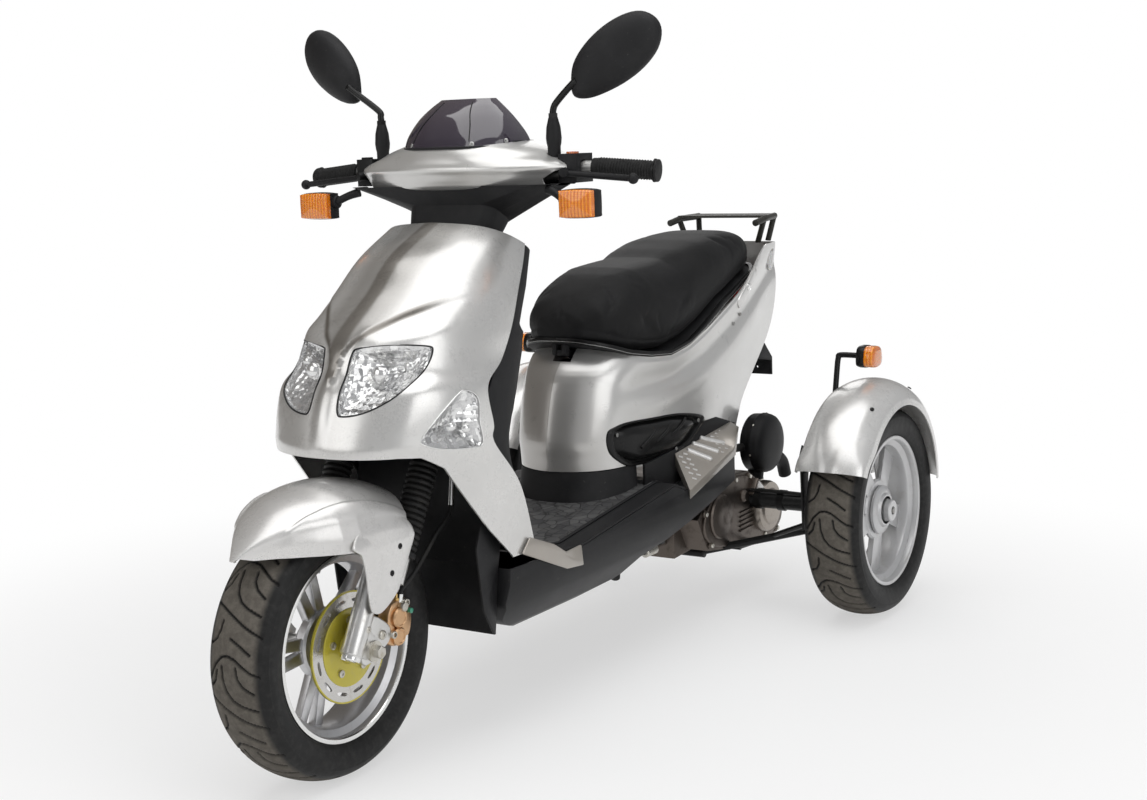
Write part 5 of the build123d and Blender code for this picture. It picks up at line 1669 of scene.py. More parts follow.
    def grips(self, settings):
        source = frame["nodes"]["grips"]
        parts = [refined("grips", "grip rubber", 0.0008)]
        for side in (-1, 1):
            mine = [v.co / MM for v in source.data.vertices if v.co.x * side > 0]
            ends = []
            for limit in (min(p.x * side for p in mine), max(p.x * side for p in mine)):
                near = [p for p in mine if abs(p.x * side - limit) < 14]
                ends.append(sum(near, Vector()) / len(near))
            axis = (ends[1] - ends[0]).normalized()
            spread = sorted(((p - ends[0]) - axis * (p - ends[0]).dot(axis)).length for p in mine)
            radius = spread[len(spread) // 2]
            length = (ends[1] - ends[0]).length
            side_way = axis.orthogonal().normalized()
            other = axis.cross(side_way)
            rows = []
            count = settings.grip_ribs
            for k in range(count * 6 + 1):
                t = k / (count * 6)
                rib = 1.5 * (0.5 + 0.5 * math.cos(2 * math.pi * t * count))
                rise = rib * ease(t, 0.03, 0.08) * (1 - ease(t, 0.9, 0.95)) + 4 * ease(t, 0.95, 0.97)
                spot = ends[0] + axis * (4 + (length - 6) * t)
                row = []
                for i in range(48):
                    a = 2 * math.pi * i / 48
                    reach = radius + 0.3 + rise * (1 + 0.25 * math.cos(8 * a))
                    row.append((spot + (side_way * math.cos(a) + other * math.sin(a)) * reach) * MM)
                rows.append(row)
            mesh = closed(grid_mesh("grip_skin", rows, wrap_columns=True))
            parts.append(smooth(link("grip_skin", mesh, "grip rubber"), 50))
        return join("grip_sleeves", parts)


# ---- repeats ------------------------------------------------------------------------------------------
def repeat_tree():
    """Geometry tree: copies of a shape, each moved and turned on from the last."""
    tree = bpy.data.node_groups.new("spaced copies", "GeometryNodeTree")
    face = tree.interface
    face.new_socket("Geometry", in_out="INPUT", socket_type="NodeSocketGeometry")
    for label, kind in (("Shape", "Object"), ("Count", "Int"), ("Start", "Vector"), ("Step", "Vector"),
                        ("Turn", "Vector"), ("Finish", "Material")):
        face.new_socket(label, in_out="INPUT", socket_type="NodeSocket" + kind)
    face.new_socket("Geometry", in_out="OUTPUT", socket_type="NodeSocketGeometry")
    nodes, wires = tree.nodes, tree.links
    given, result = nodes.new("NodeGroupInput"), nodes.new("NodeGroupOutput")
    line, info = nodes.new("GeometryNodeMeshLine"), nodes.new("GeometryNodeObjectInfo")
    number, turning = nodes.new("GeometryNodeInputIndex"), nodes.new("ShaderNodeVectorMath")
    euler, copies = nodes.new("FunctionNodeEulerToRotation"), nodes.new("GeometryNodeInstanceOnPoints")
    solid, dressed = nodes.new("GeometryNodeRealizeInstances"), nodes.new("GeometryNodeSetMaterial")
    line.mode = "OFFSET"
    turning.operation = "SCALE"
    for source, target in ((given.outputs["Count"], line.inputs["Count"]),
                           (given.outputs["Start"], line.inputs["Start Location"]),
                           (given.outputs["Step"], line.inputs["Offset"]),
                           (given.outputs["Shape"], info.inputs["Object"]),
                           (given.outputs["Turn"], turning.inputs[0]),
                           (number.outputs[0], turning.inputs["Scale"]),
                           (turning.outputs[0], euler.inputs[0]),
                           (line.outputs[0], copies.inputs["Points"]),
                           (info.outputs["Geometry"], copies.inputs["Instance"]),
                           (euler.outputs[0], copies.inputs["Rotation"]),
                           (copies.outputs[0], solid.inputs[0]), (solid.outputs[0], dressed.inputs[0]),
                           (given.outputs["Finish"], dressed.inputs["Material"]),
                           (dressed.outputs[0], result.inputs[0])):
        wires.new(source, target)
    return tree


def spaced(name, shape, count, start, step, material, turn=(0, 0, 0)):
    """Run the tree on a shape made at the origin (mm), and keep the mesh."""
    tree = bpy.data.node_groups.get("spaced copies") or repeat_tree()
    keys = {item.name: item.identifier for item in tree.interface.items_tree if item.in_out == "INPUT"}
    holder = bpy.data.objects.new(name, bpy.data.meshes.new(name))
    bpy.context.scene.collection.objects.link(holder)
    tool = holder.modifiers.new("copies", "NODES")
    tool.node_group = tree
    for label, value in (("Shape", shape), ("Count", count), ("Start", vec(*start)), ("Step", vec(*step)),
                         ("Turn", turn), ("Finish", finish(material))):
        tool[keys[label]] = value
    apply_all(holder)
    discard(shape)
    return smooth(holder, 40)


def forked(piece, place):
    """Stand a piece made about the origin on the fork: its z runs up the steering axis at a place (mm)."""
    piece.data.transform(Matrix.Translation(vec(*place)) @ Matrix.Rotation(-RAKE, 4, "X"))
    return piece


# ---- fork, brake and front fender --------------------------------------------------------------------
DISC_X = 55.0
FENDER_TOP = 294.0
FENDER_PLAN = [(-920, 2), (-908, 10), (-893, 23), (-872, 43), (-848, 65), (-815, 88), (-775, 107),
               (-735, 119), (-700, 122), (-480, 122)]
FENDER_CREASE = [(-925, 8), (-900, 34), (-859, 60), (-792, 80), (-722, 97), (-700, 101),
                 (-640, 110), (-560, 118)]
FENDER_EDGE = [(-925, 449), (-907, 446), (-890, 441), (-860, 440), (-818, 437), (-784, 434),
               (-749, 431), (-500, 430)]
LEG_OUT = [(300, 129), (430, 128.8), (445, 126.4), (458, 122.8), (470, 119), (480, 116)]
LEG = [(-756, 440), (-739, 425), (-731, 405), (-727, 378), (-724, 344), (-719, 323), (-708, 314),
       (-692, 313), (-672, 322), (-652, 335), (-639, 348), (-622, 374), (-605, 404), (-593, 424),
       (-590, 437), (-597, 454), (-614, 468), (-640, 478), (-690, 476), (-736, 460)]
HOSE = [(84, -588, 292), (86, -584, 320), (100, -556, 352), (104, -500, 404), (104, -446, 452),
        steered(102, 24, 436), steered(102, 22, 474), steered(92, -4, 524), steered(78, -8, 580),
        steered(60, -10, 700), steered(46, 26, 812)]


class ForkSettings(bpy.types.PropertyGroup):
    """Fork, front brake and front fender."""
    boot_ribs: bpy.props.IntProperty(name="Boot ribs", description="Folds in each fork boot", default=25)
    disc_slots: bpy.props.IntProperty(name="Disc slots", description="Slots round the brake disc", default=12)
    fender_crease: bpy.props.FloatProperty(name="Fender crease",
        description="Height of the fender's middle ridge", default=0.005, unit="LENGTH")


class SCOOTER_OT_fork(bpy.types.Operator):
    """Build the fork, the front brake and the front fender"""
    bl_idname = "scooter.fork"
    bl_label = "Fork and brake"

    def execute(self, context):
        settings = context.scene.scooter_fork
        settle(self.fender(settings), "steering", "silver", "front_fender")
        settle(self.boots(settings), "steering", "rubber", "fork_boots")
        settle(self.legs(), "steering", "alloy", "fork")
        settle(self.disc(settings), "front_wheel", "disc_steel", "brake_disc")
        settle(self.caliper(), "steering", "caliper", "brake_caliper")
        settle(self.hose(), "steering", "rubber", "brake_hose")
        return {"FINISHED"}

    def fender(self, settings):
        height = settings.fender_crease / MM

        def place(u, v):
            across = 2 * u - 1
            turn = math.radians(42.5 + (74.5 - 5 * across ** 2) * v)
            ridge_y = -700 - FENDER_TOP * math.cos(turn)
            half = at(FENDER_PLAN, ridge_y)
            lean = 0.965 * min(1.0, abs(across) / 0.76)
            skirt = max(0.0, (abs(across) - 0.76) / 0.24)
            x = half * (lean + 0.035 * ease(skirt, 0, 0.6)) + 7 * skirt * ease(ridge_y, -880, -780)
            radius = FENDER_TOP - 76 * (half / 122) ** 1.5 * (1 - math.sqrt(1 - lean ** 2))
            crease = at(FENDER_CREASE, ridge_y)
            radius += height * ease(x, crease - 8, crease) * ease(ridge_y, -915, -800)
            y, z = -700 - radius * math.cos(turn), 243 + radius * math.sin(turn)
            return (math.copysign(x, across), y, z + (min(z, at(FENDER_EDGE, y)) - z) * skirt)
        parts = [shell("fender_skin", place, 160, 130, 2.6, "bright silver", True)]
        for side in (-1, 1):
            def spot(a, b, depth, side=side):
                return (side * (at(LEG_OUT, b) + 1.6 - depth), a, b)
            profile = [(1.0, 4), (1.0, 1.6), (0.985, 0.4), (0.95, 0), (0.8, -0.8), (0.6, -0.8),
                       (0.4, -0.6), (0.2, -0.4)]
            parts.append(dish("fender_leg", ring(LEG, 5), spot, profile, "bright silver", wall=2.4))
            for y, z in ((-635, 419), (-661, 376)):
                parts.append(screw((side * 131.2, y, z), (side, 0, 0), 5.5, 2.4, "gloss black"))
        return join("front_fender_skin", parts)

    def boots(self, settings):
        parts = []
        pitch = 273.0 / settings.boot_ribs
        for side in (-1, 1):
            half = pitch / 2
            fold = [(half * (2 * k / 10 - 1), 22.2 + 5.0 * math.sin(math.pi * k / 10) ** 0.7)
                    for k in range(1, 10)]
            wave = [(-half, 22.2)] + fold + [(half, 22.2), (half, 16), (-half, 16)]
            rib = lathe("rib", wave, (0, 0, 0), "boot rubber", 40, "Z")
            rib.data.transform(Matrix.Rotation(-RAKE, 4, "X"))
            first = steered(side * 98, -30, 178.6 + half)
            step = [b - a for a, b in zip(steered(0, 0, 0), steered(0, 0, pitch))]
            parts.append(spaced("boot_folds", rib, settings.boot_ribs, first, step, "boot rubber"))
            for height in (182, 447):
                section = [(-5, 20), (-5, 26.5), (-3.5, 28), (3.5, 28), (5, 26.5), (5, 20)]
                collar = lathe("collar", section, (0, 0, 0), "soft black", 40, "Z")
                parts.append(forked(collar, steered(side * 98, -30, height)))
        return join("fork_boot_folds", parts)

    def legs(self):
        parts = [refined("fork", "slider alloy", 0.0025)]
        for side in (-1, 1):
            sleeve = [(-20, 12), (-20, 18.6), (-18, 20.3), (60, 20.3), (64, 19.4), (150, 19.4), (150, 12)]
            parts.append(forked(lathe("slider", sleeve, (0, 0, 0), "slider alloy", 48, "Z"),
                                steered(side * 98, -90, 0)))
            plug = [(-30, 1), (-30, 7), (-29, 8.5), (-24, 9), (-24, 14.5), (-29, 15.5), (-29.5, 17),
                    (-27, 18.6), (-19, 18.6), (-19, 1)]
            parts.append(forked(lathe("plug", plug, (0, 0, 0), "bright alloy", 48, "Z"),
                                steered(side * 98, -90, 0)))
            nut = [(side * x, r) for x, r in ((112, 0.5), (132, 0.5), (132, 10), (130.5, 12), (118, 12),
                    (118, 18), (112, 18))]
            parts.append(lathe("axle_nut", nut, FRONT_CENTRE, "zinc", 6, "X"))
            washer = [(side * x, r) for x, r in ((112, 8), (116.5, 8), (116.5, 19), (112, 19))]
            parts.append(lathe("axle_washer", washer, FRONT_CENTRE, "zinc", 48, "X"))
            drain = steered(side * 98, -106, 12)
            parts.append(screw((side * 117.5, drain[1] + 26, drain[2] + 6), (side, 0, 0), 6.5, 3, "zinc"))
        return join("fork_legs", parts)

    def disc(self, settings):
        centre = FRONT_CENTRE
        band = lathe("disc_band", [(DISC_X - 2, 68), (DISC_X - 2, 99), (DISC_X + 2, 99), (DISC_X + 2, 68)],
                     centre, "disc steel", 144, "X")
        for k in range(settings.disc_slots):
            a = 2 * math.pi * k / settings.disc_slots + 0.2
            outline = []
            for i in range(16):
                b = 2 * math.pi * i / 16
                along_slot = 10 * math.cos(b) + (4 if math.cos(b) > 0 else -4)
                wide = 3.4 * math.sin(b)
                radius = 84 + wide
                turn = a + along_slot / 84 + wide * 0.004
                outline.append((-700 + radius * math.cos(turn), 243 + radius * math.sin(turn)))
            cut(band, slab("slot", outline, DISC_X - 8, DISC_X + 8, "X", None, 0))
        rim_band = lathe("disc_edge", [(DISC_X - 2.1, 97.6), (DISC_X - 2.1, 100.6), (DISC_X + 2.1, 100.6),
                (DISC_X + 2.1, 97.6)], centre, "disc yellow", 144, "X")
        carrier = lathe("disc_carrier", [(DISC_X - 3, 9.4), (DISC_X - 3, 70.5), (DISC_X + 3, 70.5),
                (DISC_X + 4, 68), (DISC_X + 4, 30), (DISC_X + 9, 28), (DISC_X + 9, 9.4)], centre,
                        "disc yellow", 96, "X")
        shape = lathe("bolt", [(0, 0.3), (0, 7), (4, 7), (5, 5), (5, 3), (3.4, 3), (3.4, 0.3)], (0, 0, 50),
                      "zinc", 12, "X")
        bolts = spaced("disc_bolts", shape, 5, (DISC_X + 3.5, -700, 243), (0, 0, 0), "zinc",
                       (2 * math.pi / 5, 0, 0))
        return join("brake_disc_unit", [band, rim_band, carrier, bolts])

    def caliper(self):
        low, high = DISC_X - 13, DISC_X + 38
        body = ring([(-634, 240), (-628, 264), (-621, 290), (-606, 303), (-580, 303), (-566, 290),
                     (-562, 262), (-572, 236), (-592, 224), (-616, 225)], 4)
        parts = [slab("caliper_body", body, DISC_X + 7, high - 6, "X", "copper", 3, 3),
                 slab("caliper_back", body, low, DISC_X - 7, "X", "copper", 3, 3)]
        bridge = ring([(-592, 300), (-576, 306), (-560, 290), (-556, 262), (-566, 234), (-578, 238),
                       (-570, 262), (-576, 284)], 3)
        parts.append(slab("caliper_bridge", bridge, low, high - 8, "X", "copper", 2, 2))
        for y, z, radius in ((-598, 274, 19), (-602, 240, 17)):
            cup = [(high - 10, 0.4), (high - 10, radius), (high - 1, radius), (high + 2, radius - 2.5),
                   (high + 2, radius - 5), (high + 0.6, radius - 6), (high + 0.6, 0.4)]
            parts.append(lathe("caliper_cup", cup, (0, y, z), "copper", 40, "X"))
        for y, z in ((-620, 248), (-580, 298)):
            head = [(high - 12, 0.4), (high - 12, 7), (high + 3, 7), (high + 4, 6), (high + 4, 4),
                    (high - 2, 4), (high - 2, 0.4)]
            parts.append(lathe("caliper_bolt", head, (0, y, z), "zinc", 24, "X"))
        parts.append(lathe("caliper_dot", [(high - 4, 0.3), (high - 4, 5), (high + 2.4, 5), (high + 3, 4),
                    (high + 3, 0.3)], (0, -568, 280), "green paint", 24, "X"))
        bracket = ring([(-706, 300), (-672, 298), (-644, 282), (-626, 264), (-628, 242), (-650, 228),
                        (-682, 214), (-708, 222)], 4)
        parts.append(slab("caliper_bracket", bracket, DISC_X + 16, 92, "X", "slider alloy", 3, 3))
        parts.append(screw((92, -650, 256), (1, 0, 0), 9, 5, "zinc"))
        parts.append(screw((92, -682, 232), (1, 0, 0), 8, 5, "brass"))
        parts.append(lathe("bleed_screw", [(0, 0.3), (0, 5), (8, 5), (9, 3), (16, 3), (17, 2), (17, 0.3)],
                           (DISC_X + 26, -592, 300), "brass", 12, "Z"))
        return join("caliper_unit", parts)

    def hose(self):
        parts = [tube("hose", HOSE, 4.2, "hose rubber", 16, 8)]
        for first, second in ((HOSE[0], HOSE[1]), (HOSE[4], HOSE[5])):
            a, b = Vector(first), Vector(second)
            parts.append(tube("crimp", [tuple(a), tuple(a + (b - a) * 0.8)], 5.4, "bright alloy", 16, 2,
                              smooth_path=False))
        parts.append(lathe("banjo", [(-6, 0.4), (-6, 8), (-4, 9), (4, 9), (6, 8), (6, 0.4)],
                           (92, -588, 292), "zinc", 12, "X"))
        return join("brake_hose_run", parts)


# ---- floor, footboards and knee panel ----------------------------------------------------------------
FLOOR = [(-312, 334), (-170, 322), (9, 345), (220, 370), (268, 352)]
BOARD_INNER = [(321, 414), (470, 431), (588, 443)]
BOARD_OUTER = [(277, 345), (488, 402), (515, 446)]
BOARD_BARS = [((151, 443, 428), (184, 484, 411)), ((153, 403, 422), (191, 440, 401)),
              ((157, 371, 413), (194, 401, 391))]


class LowerSettings(bpy.types.PropertyGroup):
    """Floor, footboards and knee panel."""
    mat_edge: bpy.props.FloatProperty(name="Mat edge", description="Width of the floor mat's raised edge",
        default=0.009, unit="LENGTH")
    grip_dashes: bpy.props.IntProperty(name="Grip dashes",
        description="Raised dashes in each row on a footboard", default=5)


class SCOOTER_OT_lower(bpy.types.Operator):
    """Dress the floor, the passenger footboards and the knee panel"""
    bl_idname = "scooter.lower"
    bl_label = "Floor and footboards"

    def execute(self, context):
        settings = context.scene.scooter_lower
        settle(self.floor(settings), "chassis", "black_plastic", "floorboard")
        settle(self.footboards(settings), "chassis", "warm_grey", "passenger_footboards")
        settle(self.knee_panel(), "chassis", "black_plastic", "inner_leg_shield")
        settle(self.stand(), "chassis", "frame_black", "centre_stand")
        return {"FINISHED"}

    def floor(self, settings):
        edge = settings.mat_edge / MM

        def place(u, v):
            y = -298 + 540 * v
            return (158 * (2 * u - 1), y, at(FLOOR, y) + 2.5)
        mat = shell("mat", place, 25, 80, 2.4, "mat", False)
        parts = [refined("floorboard", "black plastic", 0.0015), mat]
        for side in (-1, 1):
            def rail(u, v, side=side):
                y = -300 + 544 * v
                return (side * (158 - edge * (0.5 - u)), y, at(FLOOR, y) + 2.5 + 2.2 * math.sin(math.pi * u))
            parts.append(shell("mat_border", rail, 7, 80, 2.0, "black plastic", side < 0))
        return join("floor_skin", parts)

    def footboards(self, settings):
        parts = [refined("passenger_footboards", "warm grey", 0.0035)]
        pieces = []
        for start, end in BOARD_BARS:
            pieces.append(tube("bar", [start, end], 6.4, "bright silver", 16, 2, smooth_path=False))
            pieces.extend(self.bar_cap(spot) for spot in (start, end))
        dash = tube("dash", [(-3, -4, 2), (3, 4, -2)], 2.4, "bright silver", 10, 2, smooth_path=False)
        for share in (0.05, 0.13, 0.62, 0.7, 0.78):
            first, last = self.board_spot(0.14, share), self.board_spot(0.86, share + 0.08)
            step = [(b - a) / (settings.grip_dashes - 1) for a, b in zip(first, last)]
            twin = link("dash_row", dash.data.copy(), None)
            pieces.append(spaced("dashes", twin, settings.grip_dashes, first, step, "bright silver"))
        discard(dash)
        parts.append(both_sides(join("board_trim", pieces)))
        return join("footboard_skin", parts)

    def board_spot(self, out, back):
        """A place on the left board's top face, out and back from 0 to 1."""
        inner_y, outer_y = 321 + 267 * back, 277 + 238 * back
        inner_z, outer_z = at(BOARD_INNER, inner_y), at(BOARD_OUTER, outer_y)
        return (152 + 56 * out, inner_y + (outer_y - inner_y) * out,
                inner_z + (outer_z - inner_z) * out + 0.4)

    def bar_cap(self, spot):
        cap = [(-6.4, 0.3), (-5.5, 3.3), (-3, 5.7), (0, 6.4), (3, 5.7), (5.5, 3.3), (6.4, 0.3)]
        return lathe("bar_cap", cap, spot, "bright silver", 16, "Z")

    def knee_panel(self):
        parts = [refined("inner_leg_shield", "black plastic", 0.0015)]
        outline = [(-415, 622), (-409, 682), (-362, 676), (-359, 614)]
        pieces = [slab("reflector_base", swollen(outline, 5), 166, 176.5, "X", "soft black", 1.4, 2),
                  slab("reflector", outline, 176, 180, "X", "orange reflector", 1.2, 2)]
        parts.append(both_sides(join("side_reflector", pieces)))
        return join("knee_panel_skin", parts)

    def stand(self):
        parts = [refined("centre_stand", "frame paint", 0.0008)]
        can = [(238, 0.4), (238, 9), (241, 11.5), (282, 11.5), (284, 9), (284, 0.4)]
        parts.append(lathe("canister", can, (112, 0, 203), "zinc", 32, "Y"))
        bolt = [(284, 0.4), (284, 6.5), (290, 6.5), (291.5, 5), (291.5, 0.4)]
        parts.append(lathe("canister_bolt", bolt, (112, 0, 203), "brass", 6, "Y"))
        parts.append(tube("canister_hose", [(112, 240, 203), (104, 214, 214), (80, 190, 236)], 5,
                          "hose rubber", 12, 6))
        return join("stand_skin", parts)


# ---- engine, axle and rear fenders -------------------------------------------------------------------
CASE = [(417, 241), (518, 315), (671, 310), (851, 199), (826, 128), (662, 127), (461, 160)]
CASE_BOLTS = [(446, 250), (520, 300), (596, 302), (668, 297), (740, 252), (826, 196), (812, 140),
              (742, 140), (664, 140), (560, 150), (470, 172)]
REAR_CREASE = [(20, 10), (40, 40), (70, 60), (110, 68), (180, 74)]


class RearSettings(bpy.types.PropertyGroup):
    """Engine, rear suspension and rear fenders."""
    fins: bpy.props.IntProperty(name="Cylinder fins", description="Cooling fins on the cylinder", default=8)
    spring_turns: bpy.props.IntProperty(name="Spring turns",
        description="Coils of each rear spring", default=9)
    fender_step: bpy.props.FloatProperty(name="Fender step",
        description="Height of the step along each rear fender", default=0.002, unit="LENGTH")


class SCOOTER_OT_rear(bpy.types.Operator):
    """Build the engine's outside, the springs, the rear fenders and signals"""
    bl_idname = "scooter.rear"
    bl_label = "Engine and rear"

    def execute(self, context):
        settings = context.scene.scooter_rear
        settle(self.engine(settings), "chassis", "cast", "engine")
        settle(self.air_filter(), "chassis", "black_plastic", "air_filter")
        settle(self.exhaust(), "chassis", "steel", "exhaust")
        settle(self.springs(settings), "chassis", "steel", "rear_shocks")
        settle(self.fenders(settings), "chassis", "silver", "rear_fenders")
        settle(self.signals(), "chassis", "amber", "rear_signals")
        settle(self.axle(), "chassis", "frame_black", "rear_axle")
        return {"FINISHED"}

    def engine(self, settings):
        parts = [refined("engine", "engine", 0.004)]
        middle = (636, 222)
        cover = [(middle[0] + (y - middle[0]) * 0.9, middle[1] + (z - middle[1]) * 0.86) for y, z in CASE]
        parts.append(slab("case_cover", ring(cover, 5), 146, 158, "X", "engine", 3.5, 3))
        for y, z, radius, height in ((512, 232, 52, 10), (738, 212, 62, 24), (628, 258, 15, 12)):
            disc = [(154, 0.5), (154, radius), (156 + height * 0.5, radius),
                    (157 + height * 0.8, radius - 3), (158 + height * 0.8, radius * 0.72),
                    (157 + height, radius * 0.66), (158 + height, radius * 0.3), (157 + height, 0.5)]
            parts.append(lathe("round_cover", disc, (0, y, z), "engine cover" if radius > 60
                               else "engine", 64, "X"))
        for y, z in CASE_BOLTS:
            boss = [(140, 0.5), (140, 9), (155, 9), (156, 8), (156, 0.5)]
            parts.append(lathe("boss", boss, (0, y, z), "engine", 20, "X"))
            parts.append(lathe("case_bolt", [(155, 0.4), (155, 6), (160, 6), (161, 5), (161, 0.4)],
                               (0, y, z), "zinc", 6, "X"))
        for k in range(6):
            turn = math.pi * k / 3 + 0.3
            spot = (8, 738 + 52 * math.cos(turn), 212 + 52 * math.sin(turn))
            parts.append(lathe("cover_bolt", [(160, 0.4), (160, 5), (164.5, 5), (165.5, 4), (165.5, 0.4)],
                               spot, "zinc", 12, "X"))
        rib = slab("rib", [(-34, -1.8), (34, -1.8), (34, 1.8), (-34, 1.8)], 0, 5, "X", "engine", 0.8)
        parts.append(spaced("case_ribs", rib, 5, (157, 640, 176), (0, 1.5, 11), "engine"))
        parts.append(slab("label", [(668, 262), (700, 236), (716, 258), (684, 284)], 172, 175, "X",
                          "bright silver", 0.4))
        parts.append(slab("label_boss", [(656, 256), (704, 226), (724, 262), (684, 292)], 150, 172, "X",
                          "engine", 3))
        fin = slab("fin", [(-76, -58), (76, -58), (76, 58), (-76, 58)], -1.4, 1.4, "Y", "engine", 0.7)
        parts.append(spaced("fins", fin, settings.fins, (0, 347, 240), (0, 7.2, 0), "engine"))
        head = [(-56, -44), (56, -44), (62, -30), (62, 34), (50, 48), (-50, 48), (-62, 34), (-62, -30)]
        parts.append(slab("cylinder_head", [(x, z + 240) for x, z in head], 322, 345, "Y", "engine", 4, 3))
        breather = [(60, 420, 322), (84, 452, 352), (98, 560, 366), (104, 700, 356), (104, 752, 352)]
        parts.append(tube("breather", breather, 10, "hose rubber", 16, 8))
        parts.append(tube("cable", [(100, 420, 330), (128, 470, 338), (140, 560, 332), (120, 640, 322)],
                          3.4, "hose rubber", 10, 8))
        return join("engine_skin", parts)

    def air_filter(self):
        outline = [(806 + 78 * math.cos(2 * math.pi * k / 72), 353 + 74 * math.sin(2 * math.pi * k / 72))
                   for k in range(72)]

        def spot(a, b, depth):
            return (146 - depth, a, b)
        profile = [(0.96, 46), (0.98, 24), (1.0, 22), (1.0, 18), (0.985, 16), (0.97, 8), (0.93, 1),
                   (0.86, -4), (0.74, -8), (0.55, -11), (0.3, -13), (0.1, -13.5)]
        parts = [dish("filter_dome", outline, spot, profile, "soft black", wall=2.4)]
        back = [(806 + (a - 806) * 0.955, 353 + (b - 353) * 0.955) for a, b in outline]
        parts.append(slab("filter_back", back, 98, 104, "X", "soft black", 1.5, 2))
        for k in range(6):
            turn = math.pi * k / 3 + 0.25
            place = (126, 806 + 75 * math.cos(turn), 353 + 71 * math.sin(turn))
            parts.append(screw(place, (1, 0, 0), 4.2, 4, "zinc"))
        duct = [(128, 770, 318), (134, 836, 318), (138, 880, 296), (138, 900, 258)]
        parts.append(tube("duct", duct, 16, "soft black", 24, 8))
        parts.append(tube("intake", [(112, 776, 236), (112, 786, 270), (112, 800, 322)], 20,
                          "soft black", 28, 6))
        clamp = [(-5, 19.5), (-5, 22), (5, 22), (5, 19.5)]
        parts.append(lathe("clamp", clamp, (112, 784, 262), "zinc", 40, "Z"))
        return join("air_filter_skin", parts)

    def exhaust(self):
        parts = [refined("exhaust", "steel", 0.003)]
        rows = []
        for y in (690, 700, 780, 860, 872):
            rows.append([vec(-190 + (51 if 695 < y < 865 else 50) * math.cos(a), y,
                             322 + (51 if 695 < y < 865 else 50) * math.sin(a))
                         for a in (math.pi * (0.78 + 0.6 * k / 16) for k in range(17))])
        piece = link("heat_shield", grid_mesh("heat_shield", rows), "soft black")
        parts.append(smooth(walled(piece, 3, 1), 40))
        for y in (716, 844):
            parts.append(screw((-243.5, y, 322), (-1, 0, 0), 5, 3, "zinc"))
        for y in (640, 896):
            band = [(y - 9, 47), (y - 9, 50.5), (y + 9, 50.5), (y + 9, 47)]
            parts.append(lathe("band", band, (-190, 0, 322), "steel", 64, "Y"))
        return join("exhaust_skin", parts)

    def springs(self, settings):
        parts = []
        low, high = Vector((72, 674, 292)), Vector((84, 660, 556))
        way = (high - low).normalized()
        side = way.orthogonal().normalized()
        other = way.cross(side)
        steps = 14 * settings.spring_turns
        run = []
        for k in range(steps + 1):
            turn = 2 * math.pi * k / 14
            run.append(tuple(low + (high - low) * (k / steps)
                             + (side * math.cos(turn) + other * math.sin(turn)) * 24))
        parts.append(tube("spring", run, 4.6, "frame paint", 8, 1))
        parts.append(tube("damper", [tuple(low), tuple(low + (high - low) * 0.55)], 17, "soft black", 28, 2,
                          smooth_path=False))
        parts.append(tube("shaft", [tuple(low), tuple(high)], 7, "bright alloy", 20, 2, smooth_path=False))
        for spot in (low, high):
            parts.append(tube("cup", [tuple(spot - way * 4), tuple(spot + way * 4)], 30, "frame paint", 36,
                              2, smooth_path=False))
        for spot, ahead in ((low, -36), (high, 36)):
            end = spot + way * ahead
            parts.append(tube("neck", [tuple(spot), tuple(end)], 9, "frame paint", 20, 2, smooth_path=False))
            parts.append(tube("eye", [(end.x - 14, end.y, end.z), (end.x + 14, end.y, end.z)], 15,
                              "frame paint", 28, 2, smooth_path=False))
        return both_sides(join("rear_springs", parts))

    def fenders(self, settings):
        step = settings.fender_step / MM

        def place(u, v):
            across = 2 * u - 1
            turn = math.radians(20.5 + 159.5 * v)
            lean = min(1.0, abs(across) / 0.8)
            skirt = max(0.0, (abs(across) - 0.8) / 0.2)
            x = math.copysign(82 * (0.965 * lean + 0.035 * skirt), across)
            drop = 1 - math.sqrt(1 - (0.965 * lean) ** 2)
            radius = 263 - 58 * drop * (0.5 + 0.5 * ease(v, 0, 0.12)) - 16 * skirt
            crease = at(REAR_CREASE, math.degrees(turn))
            radius += step * ease(abs(x), crease - 16, crease + 6)
            return (460 + x, 680 - radius * math.cos(turn), 281 + radius * math.sin(turn))
        parts = [shell("rear_fender", place, 90, 110, 2.6, "bright silver", True)]
        for outline in ([(662, 243), (698, 243), (712, 500), (648, 500)],
                        [(486, 226), (506, 224), (520, 380), (490, 420), (478, 400)]):
            parts.append(slab("stay", outline, 378, 382, "X", "frame paint", 0.8))
        for y, z in ((672, 486), (690, 486), (494, 392), (506, 376)):
            parts.append(screw((377.6, y, z), (-1, 0, 0), 6, 4, "zinc"))
        for turn in (60, 112, 150):
            angle = math.radians(turn)
            spot = (460 + 60, 680 - 251 * math.cos(angle), 281 + 251 * math.sin(angle))
            parts.append(screw(spot, (0.45, -math.cos(angle), math.sin(angle)), 5, 3, "gloss black"))
        return both_sides(join("rear_fender_skins", parts))

    def signals(self):
        run = [(392, 642, 500), (392, 655, 560), (392, 664, 592), (398, 667, 600), (450, 668, 600)]
        parts = [tube("post", run, 6.5, "gloss black", 20, 6)]
        shape = [(640, 584), (646, 618), (672, 624), (696, 616), (702, 590), (692, 576), (664, 574)]
        outline = ring(shape, 5)

        def spot(a, b, depth):
            return (443 + depth, a, b)
        parts.append(dish("signal_shell", outline, spot,
                          [(1.0, 21), (1.03, 19), (1.03, 8), (0.96, 2), (0.8, 0), (0.4, -1)],
                          "gloss black", wall=2))

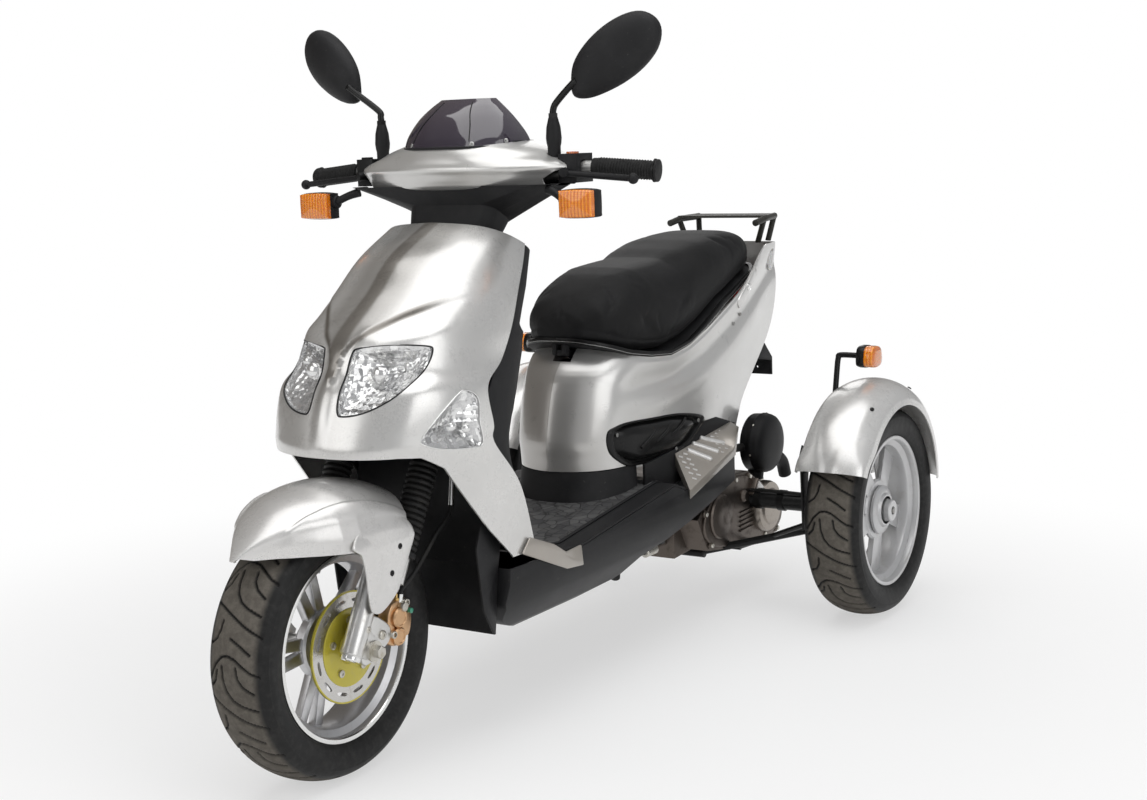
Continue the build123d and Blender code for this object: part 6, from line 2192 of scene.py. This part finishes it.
        def face(a, b, depth):
            return (486 - depth, a, b)
        parts.append(dish("signal_lens", outline, face,
                          [(0.98, 24), (0.99, 8), (0.95, 3), (0.85, 0.6), (0.6, -0.6), (0.3, -1)],
                          "amber", wall=2))
        parts.append(lathe("post_nut", [(500, 6), (500, 12), (508, 12), (508, 6)], (392, 642, 0),
                           "zinc", 6, "Z"))
        return both_sides(join("rear_signal_pair", parts))

    def axle(self):
        parts = [refined("rear_axle", "frame paint", 0.0012)]
        pieces = []
        for x in (170, 230, 330):
            pieces.append(lathe("axle_band", [(x, 21), (x, 25), (x + 16, 25), (x + 16, 21)], (0, 680, 243),
                                "frame paint", 48, "X"))
        pieces.append(tube("axle_line", [(120, 664, 262), (200, 660, 268), (300, 664, 266),
                    (376, 672, 262)], 4, "hose rubber", 10, 6))
        cap = [(503, 0.4), (503, 25), (514, 25), (516, 23), (516.4, 10), (513, 9), (513, 0.4)]
        pieces.append(lathe("hub_cap", cap, (0, 680, 243), "rear alloy", 48, "X"))
        pieces.append(lathe("hub_cap_bolt", [(512, 0.4), (512, 7), (517, 7), (518, 5.5), (518, 0.4)],
                            (0, 680, 243), "steel", 6, "X"))
        parts.append(both_sides(join("axle_trim", pieces)))
        return join("rear_axle_skin", parts)


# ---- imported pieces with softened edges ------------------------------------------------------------
RECORD_SLOT = {entry["node"]: entry["material_slot"] for entry in frame["record"]["subparts"]}
SOFTENED = {
    "frame": ("frame paint", 0.8), "wheel_well": ("belly plastic", 1.0), "belly_pan": ("belly plastic", 1.2),
    "floor_trims": ("warm grey", 3.0), "storage_bucket": ("black plastic", 1.0),
    "plate_bracket": ("black plastic", 1.0), "radius_rods": ("frame paint", 0.6),
    "rear_rack": ("rack paint", 0.6), "handlebar": ("steel", 0.8), "lower_cover": ("black plastic", 1.0),
    "side_skirts": ("black plastic", 1.0),
}


class SCOOTER_OT_packed_parts(bpy.types.Operator):
    """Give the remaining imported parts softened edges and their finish"""
    bl_idname = "scooter.packed_parts"
    bl_label = "Packed parts"

    def execute(self, context):
        for node, (material, width) in SOFTENED.items():
            piece = refined(node, material, width * MM)
            settle(piece, frame["nodes"][node]["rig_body"], RECORD_SLOT[node], node)
        return {"FINISHED"}


# ---- panel and start -------------------------------------------------------------------------------
OPERATORS = (
    SCOOTER_OT_stage, SCOOTER_OT_wheels, SCOOTER_OT_front, SCOOTER_OT_body, SCOOTER_OT_upper, SCOOTER_OT_fork,
    SCOOTER_OT_lower, SCOOTER_OT_rear, SCOOTER_OT_packed_parts,
)
SETTINGS = (("scooter_stage", StageSettings), ("scooter_wheels", WheelSettings),
            ("scooter_front", FrontSettings), ("scooter_body", BodySettings),
            ("scooter_upper", UpperSettings), ("scooter_fork", ForkSettings),
            ("scooter_lower", LowerSettings), ("scooter_rear", RearSettings))


class SCOOTER_PT_panel(bpy.types.Panel):
    """The scooter's pieces"""
    bl_label = "Scooter"
    bl_idname = "SCOOTER_PT_panel"
    bl_space_type = "VIEW_3D"
    bl_region_type = "UI"
    bl_category = "Scooter"

    def draw(self, context):
        for operator in OPERATORS:
            self.layout.operator(operator.bl_idname)
        for name, group in SETTINGS:
            box = self.layout.box()
            for key in group.__annotations__:
                box.prop(getattr(context.scene, name), key)


def register():
    for name, group in SETTINGS:
        bpy.utils.register_class(group)
        setattr(bpy.types.Scene, name, bpy.props.PointerProperty(type=group))
    for item in (*OPERATORS, SCOOTER_PT_panel):
        bpy.utils.register_class(item)


def unregister():
    for item in (SCOOTER_PT_panel, *reversed(OPERATORS)):
        bpy.utils.unregister_class(item)
    for name, group in reversed(SETTINGS):
        delattr(bpy.types.Scene, name)
        bpy.utils.unregister_class(group)


def main():
    register()
    for operator in OPERATORS:
        category, action = operator.bl_idname.split(".")
        getattr(getattr(bpy.ops, category), action)()


if __name__ == "__main__":
    main()
